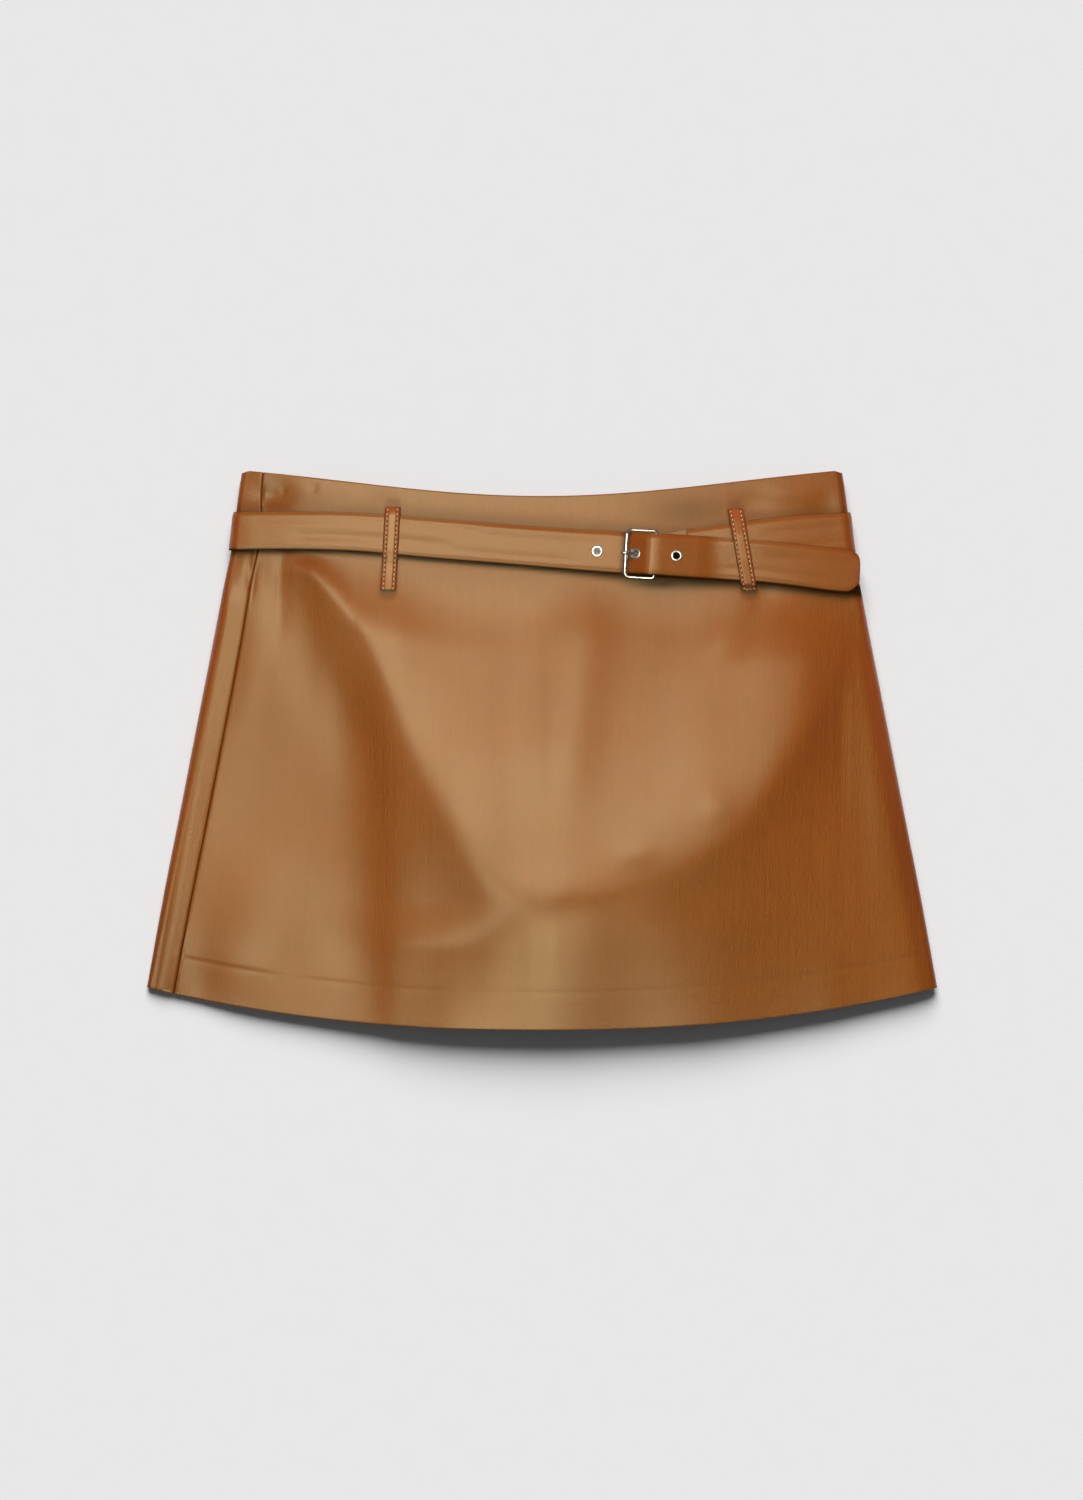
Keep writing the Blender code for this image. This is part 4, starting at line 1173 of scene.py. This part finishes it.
def strap_shade(points, b, under):
    """Painted shade on the strap: a dark line along the front run's lower edge, a painted shadow on the
    front run beside the buckle's outer bar, and painted shade on its lower layers where the right eyelet
    looks down on them.
    """
    x, y = EYELETS[2][1], float(tail_point(np.array(EYELETS[2][1]), 0.0)[1])
    layer = np.arange(points.shape[0])[:, None]
    near = np.hypot(points[..., 0] - x, points[..., 1] - y) < EYELET_FLANGE_R
    # painted shade on the lower layers seen through the right eyelet
    hole = np.where((layer >= under) & near, 1.0, 0.0)
    # painted shadow line along the front run's lower edge
    rim = np.where(points[..., 2] > FRONT_RUN, 0.9 * smooth((-b - 0.90) / 0.06), 0.0)
    # painted shadow beside the buckle's outer bar
    bar = dip(np.abs(points[..., 0] - BUCKLE_X - 0.06 * (points[..., 1] - BUCKLE_Y)) - 1.6, 0.45, 2.2)
    return np.maximum(hole, np.maximum(rim, np.where(layer < under, bar, 0.0)))


def build_belt():
    b = np.concatenate([[-1.0, -0.97, -0.93, -0.88], np.linspace(-0.82, 0.82, 27), [0.88, 0.93, 0.97, 1.0]])
    b = b[None]
    tail_x = steps((206.3, 204.2, 5), (204.2, 197.6, 6), (197.6, 104.0, 44), (104.0, 94.0, 10),
                   (94.0, 66.0, 28), (66.0, 54.0, 14), (54.0, -186.0, 130))[:, None]
    tail = tail_point(tail_x, b)

    left_y = BELT_LEFT_Y + 0.5 * BELT_LEFT_W * b
    right_y = BELT_RIGHT_Y + 0.5 * BELT_RIGHT_W * b
    turn = np.linspace(0.0, 1.0, 17)[:, None]

    def round_fold(side, turn, y):
        y = np.broadcast_to(y, (turn.shape[0], b.shape[1]))
        row = solve(lambda r: SKIRT.side(side, turn, r)[..., 1], y, 0.0, 0.6)
        return SKIRT.side(side, turn, row, GAP)

    on_left = round_fold(-1, turn, left_y)
    under_x = np.linspace(-178.0, 178.0, 61)[:, None]
    t = 0.5 + 0.5 * under_x / 190.0
    y = lerp(left_y, right_y, t) - BELT_BACK_DIP * (1.0 - (under_x / 190.0) ** 2)
    row = solve(lambda r: row_y(under_x, r), y, 0.0, 0.6)
    below = SKIRT.under(under_x, row, GAP)
    on_right = round_fold(1, turn[::-1], right_y)
    end_x = steps((194.0, 100.0, 46), (100.0, 78.0, 14))[:, None]
    back_end = end_point(end_x, b, GAP)
    theta = np.radians(-90.0 - 180.0 * np.linspace(0.0, 1.0, 17))[:, None]
    bend = end_point(HEEL_X + BEND_R * np.cos(theta), b, WIRE_Z + BEND_R * np.sin(theta))
    over_x = steps((74.8, 84.0, 14), (84.0, FOLD_END_X, 10))[:, None]
    over = end_point(over_x, b, rounded(FOLD_DROP, over_x, 1, 1.2))
    points = np.concatenate([tail, on_left, below, on_right, back_end, bend, over])
    made = cloth("strap", points, STRAP_FULL, [STRAP], rim=0.35, full=strap_full(points, b), wear_and_shade=0.6,
                 shade=strap_shade(points, b, len(tail) + len(on_left)))
    for name, x, _ in EYELETS:
        base, axis = eyelet_seat(x)
        hole(made, "hole_" + name, base + axis * (BELT_T / 2.0), axis)
    slot(made)
    return made


def eyelet_seat(x):
    """Middle of the strap's underside at x, and the strap's normal there."""
    base = tail_point(np.array(x), 0.0)
    along = tail_point(np.array(x + 2.0), 0.0) - tail_point(np.array(x - 2.0), 0.0)
    across = tail_point(np.array(x), 0.2) - tail_point(np.array(x), -0.2)
    axis = np.cross(along, across)
    return base, axis / np.linalg.norm(axis)


CUTTERS = []


def cut_with(target, name, bm):
    """Take the built mesh's form out of the target."""
    tool = stand(name, bm)
    step = target.modifiers.new(name, "BOOLEAN")
    step.operation = "DIFFERENCE"
    step.solver = "EXACT"
    step.object = tool
    CUTTERS.append(tool)


def hole(target, name, centre, axis):
    turn = Vector(axis).to_track_quat("Z", "Y").to_matrix()
    bm = bmesh.new()
    bmesh.ops.create_cone(bm, cap_ends=True, segments=40, radius1=EYELET_HOLE_R * MM,
                          radius2=EYELET_HOLE_R * MM, depth=(BELT_T + 0.6) * MM)
    for vertex in bm.verts:
        vertex.co = turn @ vertex.co + Vector(centre) * MM
    cut_with(target, name, bm)


def slot(target):
    """The prong's slot through the strap where it folds round the heel bar."""
    half = 1.35
    bm = bmesh.new()
    bmesh.ops.create_cube(bm, size=1.0)
    for vertex in bm.verts:
        x = HEEL_X - BEND_R - 0.5 if vertex.co.x < 0 else HEEL_X + BEND_R + 0.6
        height = 0.05 if vertex.co.z < 0 else FOLD_TOP + 0.15
        vertex.co = Vector(buckle_place(x, height, half if vertex.co.y > 0 else -half)) * MM
    cut_with(target, "prong_slot", bm)


# ---------------------------------------------------------------- metal
def build_eyelet(name, x, throat):
    """A domed ring on a barrel; the throat is the barrel's inner radius at its foot."""
    low = 0.3
    top = BELT_T + 0.08
    inner, outer, high = EYELET_BORE_R, EYELET_FLANGE_R, EYELET_FLANGE_T
    dome = [(inner + (outer - inner) * 0.5 * (1.0 - math.cos(math.pi * k / 12)),
             top + high * math.sin(math.pi * k / 12) ** 0.5) for k in range(13)]
    profile = dome + [(EYELET_BARREL_R, top - 0.02), (EYELET_BARREL_R, low), (throat, low)]
    if throat < inner:
        profile += [(throat, low + 0.2), (inner - 0.6, low + 0.35), (inner - 0.12, low + 0.8)]
    bm = bmesh.new()
    ring = [bm.verts.new((radius * MM, 0.0, height * MM)) for radius, height in profile]
    for k, vertex in enumerate(ring):
        bm.edges.new((vertex, ring[(k + 1) % len(ring)]))
    made = stand(name, bm)
    made.data.materials.append(RING_STEEL)
    turn = made.modifiers.new("turn", "SCREW")
    turn.steps = turn.render_steps = 64
    turn.use_merge_vertices = True
    turn.merge_threshold = 0.00001
    turn.use_normal_calculate = True
    bake(made)
    base, axis = eyelet_seat(x)
    place = Vector(axis).to_track_quat("Z", "Y").to_matrix().to_4x4()
    place.translation = Vector(base) * MM
    made.data.transform(place)
    made.data.shade_smooth()
    made.data.set_sharp_from_angle(angle=math.radians(50.0))
    return made


def wire(name, points, radii, closed, depth):
    data = bpy.data.curves.new(name, "CURVE")
    data.dimensions = "3D"
    data.bevel_depth = depth * MM
    data.bevel_resolution = 8
    data.use_fill_caps = True
    spline = data.splines.new("POLY")
    spline.points.add(len(points) - 1)
    for point, place, radius in zip(spline.points, points, radii):
        point.co = (*(Vector(place) * MM), 1.0)
        point.radius = radius
    spline.use_cyclic_u = closed
    spline.use_smooth = True
    data.materials.append(STEEL)
    made = bpy.data.objects.new(name, data)
    bpy.context.scene.collection.objects.link(made)
    graph = bpy.context.evaluated_depsgraph_get()
    mesh = bpy.data.meshes.new_from_object(made.evaluated_get(graph), depsgraph=graph)
    bpy.data.objects.remove(made, do_unlink=True)
    solid = bpy.data.objects.new(name, mesh)
    bpy.context.scene.collection.objects.link(solid)
    mesh.shade_smooth()
    return solid


def build_buckle_frame():
    thin = SIDE_R / WIRE_R
    corners = (
        # along, side, radius, first angle, thickness at its start and end
        (BUCKLE_X + FRAME_CORNER, 1.0, FRAME_CORNER, 90.0, thin, OUTER_BAR),
        (BUCKLE_X + FRAME_CORNER, -1.0, FRAME_CORNER, 180.0, OUTER_BAR, thin),
        (HEEL_X - HEEL_CORNER, -1.0, HEEL_CORNER, 270.0, thin, 1.0),
        (HEEL_X - HEEL_CORNER, 1.0, HEEL_CORNER, 0.0, 1.0, thin),
    )
    points, radii = [], []
    for x, side, radius, first, start, end in corners:
        for k in range(11):
            angle = math.radians(first + 9.0 * k)
            points.append(buckle_place(x + radius * math.cos(angle), WIRE_Z,
                                       side * (FRAME_HALF - radius) + radius * math.sin(angle)))
            radii.append(start + (end - start) * smooth(k / 10.0))
    return wire("frame_wire", points, radii, True, WIRE_R)


def build_buckle_prong():
    ring, thin = 2.25, 0.75
    shank = (
        # x, height, radius
        (70.6, 1.25, 0.78),
        (68.0, 1.25, 0.84),
        (66.2, 1.42, 0.85),
        (64.4, 1.98, 0.85),
        (60.9, 3.80, 0.98),
        (57.8, 5.30, 1.05),
        (55.9, 6.10, 1.10),
        (54.4, 6.45, 1.12),
        (53.0, 6.45, 1.05),
        (52.0, 6.32, 0.85),
        (51.4, 6.2, 0.50),
    )
    places = [(HEEL_X + ring * math.cos(math.radians(a)), WIRE_Z + ring * math.sin(math.radians(a)), thin)
              for a in np.linspace(158.0, -90.0, 29)]
    places += list(shank)
    path = np.array(places)
    length = np.concatenate([[0.0], np.cumsum(np.linalg.norm(np.diff(path[:, :2], axis=0), axis=1))])
    fine = np.linspace(0.0, length[-1], 90)
    x, height, radii = (curve_through(length, path[:, k], fine) for k in range(3))
    return wire("prong_wire", list(buckle_place(x, height)), list(radii), False, 1.0)


# ---------------------------------------------------------------- belt loops
def loop_length(start, end):
    return math.hypot(end[0] - start[0], end[1] - start[1])


def loop_point(start, end, path, distance, aside):
    """Underside of a front loop, distance along from its top end, aside as a share of its width."""
    t = distance / loop_length(start, end)
    x = start[0] + (end[0] - start[0]) * t + LOOP_W * aside
    y = start[1] + (end[1] - start[1]) * t
    return creased_top(x, y, rounded(path, distance, 1, 1.6))


LOOP_ACROSS = np.array([-0.5, -0.48, -0.44, -0.38, -0.33, -0.30, -0.27, -0.2, -0.1, 0.0,
                        0.1, 0.2, 0.27, 0.30, 0.33, 0.38, 0.44, 0.48, 0.5])


def loop_full():
    """Thickness over a loop: rounded edges, a groove along each stitch line, a full middle."""
    aside = np.abs(LOOP_ACROSS)
    round_edge = 1.0 - 0.45 * smooth((aside - 0.38) / 0.12)
    return round_edge - 0.22 * loop_groove()


def loop_groove():
    return np.exp(-((np.abs(LOOP_ACROSS) - STITCH_IN) / 0.04) ** 2)


def loop_cloth(name, points, wall, rim):
    full = np.broadcast_to(loop_full()[:, None], points.shape[:2])
    # painted shade in the grooves along the stitch lines; the loops' edges darken with wear and painted
    # shade
    return cloth(name, points, wall, [LOOP], rim=rim, full=full, wear_and_shade=0.6,
                 shade=0.55 * loop_groove()[:, None])


def build_front_loop(name, start, end, path):
    distance = np.linspace(0.0, loop_length(start, end), 91)
    points = loop_point(start, end, path, distance[None], LOOP_ACROSS[:, None])
    return loop_cloth(name, points, LOOP_T + 0.3, 0.3)


def back_loop_point(side, distance, aside):
    """Underside loop, distance along from its hem end."""
    x0 = side * BACK_LOOP_X
    t = 0.5 + 0.5 * x0 / 190.0
    middle = lerp(BELT_LEFT_Y, BELT_RIGHT_Y, t) - BELT_BACK_DIP * (1.0 - (x0 / 190.0) ** 2)
    half = 0.5 * lerp(BELT_LEFT_W, BELT_RIGHT_W, t)
    over = GAP + BELT_T + GAP
    path = ((-40.0, GAP), (-half - 3.4, GAP), (-half - 1.4, over), (half + 1.4, over),
            (half + 3.4, GAP), (40.0, GAP))
    x = x0 + LOOP_W * aside
    y = middle + distance
    x, y = np.broadcast_arrays(x, y)
    row = solve(lambda r: row_y(x, r), y, 0.0, 0.6)
    return stack(x, y, back_lift(row) - rounded(path, distance, 1, 1.0))


def build_back_loop(name, side):
    distance = np.linspace(-BACK_LOOP_REACH, BACK_LOOP_REACH, 81)
    points = back_loop_point(side, distance[None], LOOP_ACROSS[:, None])
    return loop_cloth(name, points, LOOP_T, 0.2)


STITCH_SIZES = {"Pitch": 3.0, "Length": 1.9, "Width": 0.75}


def build_stitch_tree():
    """Repeats a short thread along a line: resampled, turned along it and made real."""
    tree = bpy.data.node_groups.new("stitch_row", "GeometryNodeTree")
    tree.interface.new_socket(name="Geometry", in_out="INPUT", socket_type="NodeSocketGeometry")
    for label, value in STITCH_SIZES.items():
        socket = tree.interface.new_socket(name=label, in_out="INPUT", socket_type="NodeSocketFloat")
        socket.default_value = value * MM
    tree.interface.new_socket(name="Geometry", in_out="OUTPUT", socket_type="NodeSocketGeometry")
    start = tree.nodes.new("NodeGroupInput")
    end = tree.nodes.new("NodeGroupOutput")
    line = tree.nodes.new("GeometryNodeMeshToCurve")
    spread = tree.nodes.new("GeometryNodeResampleCurve")
    spread.mode = "LENGTH"
    tangent = tree.nodes.new("GeometryNodeInputTangent")
    aim = tree.nodes.new("FunctionNodeAlignRotationToVector")
    aim.axis = "X"
    ball = tree.nodes.new("GeometryNodeMeshUVSphere")
    ball.inputs["Segments"].default_value = 10
    ball.inputs["Rings"].default_value = 8
    ball.inputs["Radius"].default_value = 0.5
    size = tree.nodes.new("ShaderNodeCombineXYZ")
    place = tree.nodes.new("GeometryNodeInstanceOnPoints")
    real = tree.nodes.new("GeometryNodeRealizeInstances")
    paint = tree.nodes.new("GeometryNodeSetMaterial")
    paint.inputs["Material"].default_value = THREAD
    for source, output, target, entry in (
            (start, "Geometry", line, "Mesh"),
            (line, "Curve", spread, "Curve"),
            (start, "Pitch", spread, "Length"),
            (spread, "Curve", place, "Points"),
            (tangent, "Tangent", aim, "Vector"),
            (aim, "Rotation", place, "Rotation"),
            (ball, "Mesh", place, "Instance"),
            (start, "Length", size, "X"),
            (start, "Width", size, "Y"),
            (start, "Width", size, "Z"),
            (size, "Vector", place, "Scale"),
            (place, "Instances", real, "Geometry"),
            (real, "Geometry", paint, "Geometry"),
            (paint, "Geometry", end, "Geometry")):
        tree.links.new(source.outputs[output], target.inputs[entry])
    return tree


STITCHES = build_stitch_tree()


def build_stitches(name, lines):
    """A thread along each of the lines."""
    bm = bmesh.new()
    for line in lines:
        chain = [bm.verts.new(Vector(point) * MM) for point in line]
        for a, b in zip(chain, chain[1:]):
            bm.edges.new((a, b))
    made = stand(name, bm)
    step = made.modifiers.new("stitches", "NODES")
    step.node_group = STITCHES
    for item in STITCHES.interface.items_tree:
        if item.name in STITCH_SIZES:
            step[item.identifier] = STITCH_SIZES[item.name] * MM
    bake(made)
    made.data.shade_smooth()
    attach(made, "root")
    return made


# ---------------------------------------------------------------- put the garment together
skirt_front = finish_cloth(build_skirt_front())
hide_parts("front_panel")
skirt_back = finish_cloth(build_skirt_back())
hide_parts("back_panel")
for node_name, side, front in (("shorts_front_left", -1, True), ("shorts_front_right", 1, True),
                               ("shorts_back_left", -1, False), ("shorts_back_right", 1, False)):
    piece = finish_cloth(build_shorts(node_name.replace("shorts", "short"), side, front))
    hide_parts(node_name)
strap = finish_cloth(build_belt())
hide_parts("belt_strap")
for tool in CUTTERS:
    bpy.data.objects.remove(tool, do_unlink=True)

for node_name, start, end, path in (
        ("belt_loop_left", LOOP_LEFT_TOP, LOOP_LEFT_END, LOOP_LEFT_PATH),
        ("belt_loop_right", LOOP_RIGHT_TOP, LOOP_RIGHT_END, LOOP_RIGHT_PATH)):
    piece = finish_cloth(build_front_loop(node_name.replace("belt_", "front_"), start, end, path))
    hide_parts(node_name)
    distance = np.linspace(1.4, loop_length(start, end) - 1.0, 60)
    lines = [loop_point(start, end, path, distance, side * STITCH_IN) + [0.0, 0.0, LOOP_T + 0.12]
             for side in (-1, 1)]
    build_stitches(piece.name + "_thread", lines)
for node_name, side in (("back_loop_left", -1), ("back_loop_right", 1)):
    piece = finish_cloth(build_back_loop(node_name.replace("back_", "rear_"), side))
    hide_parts(node_name)
    distance = np.linspace(-BACK_LOOP_REACH + 1.2, BACK_LOOP_REACH - 1.2, 60)
    lines = [back_loop_point(side, distance, edge * STITCH_IN) - [0.0, 0.0, LOOP_T - 0.44]
             for edge in (-1, 1)]
    build_stitches(piece.name + "_thread", lines)

metal = [(build_buckle_frame(), "buckle_frame"), (build_buckle_prong(), "buckle_prong")]
metal += [(build_eyelet(name.replace("eyelet", "ring"), x, throat), name)
          for name, x, throat in EYELETS]
for piece, node_name in metal:
    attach(piece, "root")
    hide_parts(node_name)

# ---------------------------------------------------------------- floor, light and camera
sheet = bmesh.new()
bmesh.ops.create_grid(sheet, x_segments=1, y_segments=1, size=5.0)
floor = stand("floor", sheet)
paper, tree, shader = surface("pale_paper")
spot = noise(tree, tree.nodes.new("ShaderNodeTexCoord").outputs["Object"], 60.0, 2.0, 0.5)
tree.links.new(ramp(tree, spot, ((0.0, (0.795, 0.795, 0.795)), (1.0, (0.805, 0.805, 0.805)))),
               shader.inputs["Base Color"])
shader.inputs["Roughness"].default_value = 1.0
shader.inputs["Specular IOR Level"].default_value = 0.0
floor.data.materials.append(paper)

WORLD_SHARE = 0.10
world = bpy.data.worlds.new("studio")
bpy.context.scene.world = world
world.use_nodes = True
world.node_tree.nodes["Background"].inputs["Color"].default_value = (1.0, 1.0, 1.0, 1.0)
world.node_tree.nodes["Background"].inputs["Strength"].default_value = WORLD_SHARE


def aim(made, target):
    direction = Vector(target) - made.location
    made.rotation_euler = direction.to_track_quat("-Z", "Y").to_euler()


def lamp(name, kind, location, target, energy, glossy=True, diffuse=True, **settings):
    data = bpy.data.lights.new(name, kind)
    data.energy = energy
    for key, value in settings.items():
        setattr(data, key, value)
    made = bpy.data.objects.new(name, data)
    bpy.context.scene.collection.objects.link(made)
    made.location = location
    aim(made, target)
    made.visible_glossy = glossy
    made.visible_diffuse = diffuse
    return made


KEY_TILT = math.radians(52.0)
key_energy = (1.0 - WORLD_SHARE) * math.pi / math.cos(KEY_TILT)
lamp("key", "SUN", (-0.1, math.tan(KEY_TILT) * 3.0, 3.0), (0.0, 0.0, 0.0), key_energy,
     glossy=False, angle=math.radians(42.0))
# softboxes, seen only in the sheen of the leather
SOFT = (0.95, 1.0, 0.60)
WARM = (1.0, 0.85, 0.45)
SOFTBOXES = (
    # name, place, aimed at, watts, width, height, colour
    ("sheen", (-0.41, 0.66, 5.0), (0.0, 0.0, 0.0), 71.0, 1.42, 1.15, SOFT),
    ("right_sheen", (0.62, 0.66, 5.0), (0.0, 0.0, 0.0), 13.0, 0.62, 1.15, SOFT),
    ("low_sheen", (-0.16, -2.1, 4.8), (0.0, -0.1, 0.0), 84.0, 0.92, 1.5, WARM),
    ("side_sheen", (-2.3, 0.9, 4.4), (-0.1, 0.0, 0.0), 10.0, 0.8, 1.2, SOFT),
    ("left_sheen", (-1.1, -0.85, 4.9), (-0.1, 0.0, 0.0), 38.0, 0.7, 1.2, SOFT),
)
for name, place, target, watts, width, height, colour in SOFTBOXES:
    lamp(name, "AREA", place, target, watts, diffuse=False, shape="RECTANGLE", size=width,
         size_y=height, color=colour)

camera_data = bpy.data.cameras.new("camera")
camera = bpy.data.objects.new("camera", camera_data)
bpy.context.scene.collection.objects.link(camera)
CAMERA_HIGH = 4.0
VIEW_HIGH = 0.975
camera.location = (-0.0003, 0.0, CAMERA_HIGH)
camera_data.sensor_fit = "VERTICAL"
camera_data.sensor_height = 36.0
camera_data.lens = 36.0 * (CAMERA_HIGH - 0.012) / VIEW_HIGH
camera_data.clip_end = 50.0
bpy.context.scene.camera = camera
bpy.context.scene.view_settings.view_transform = "Standard"
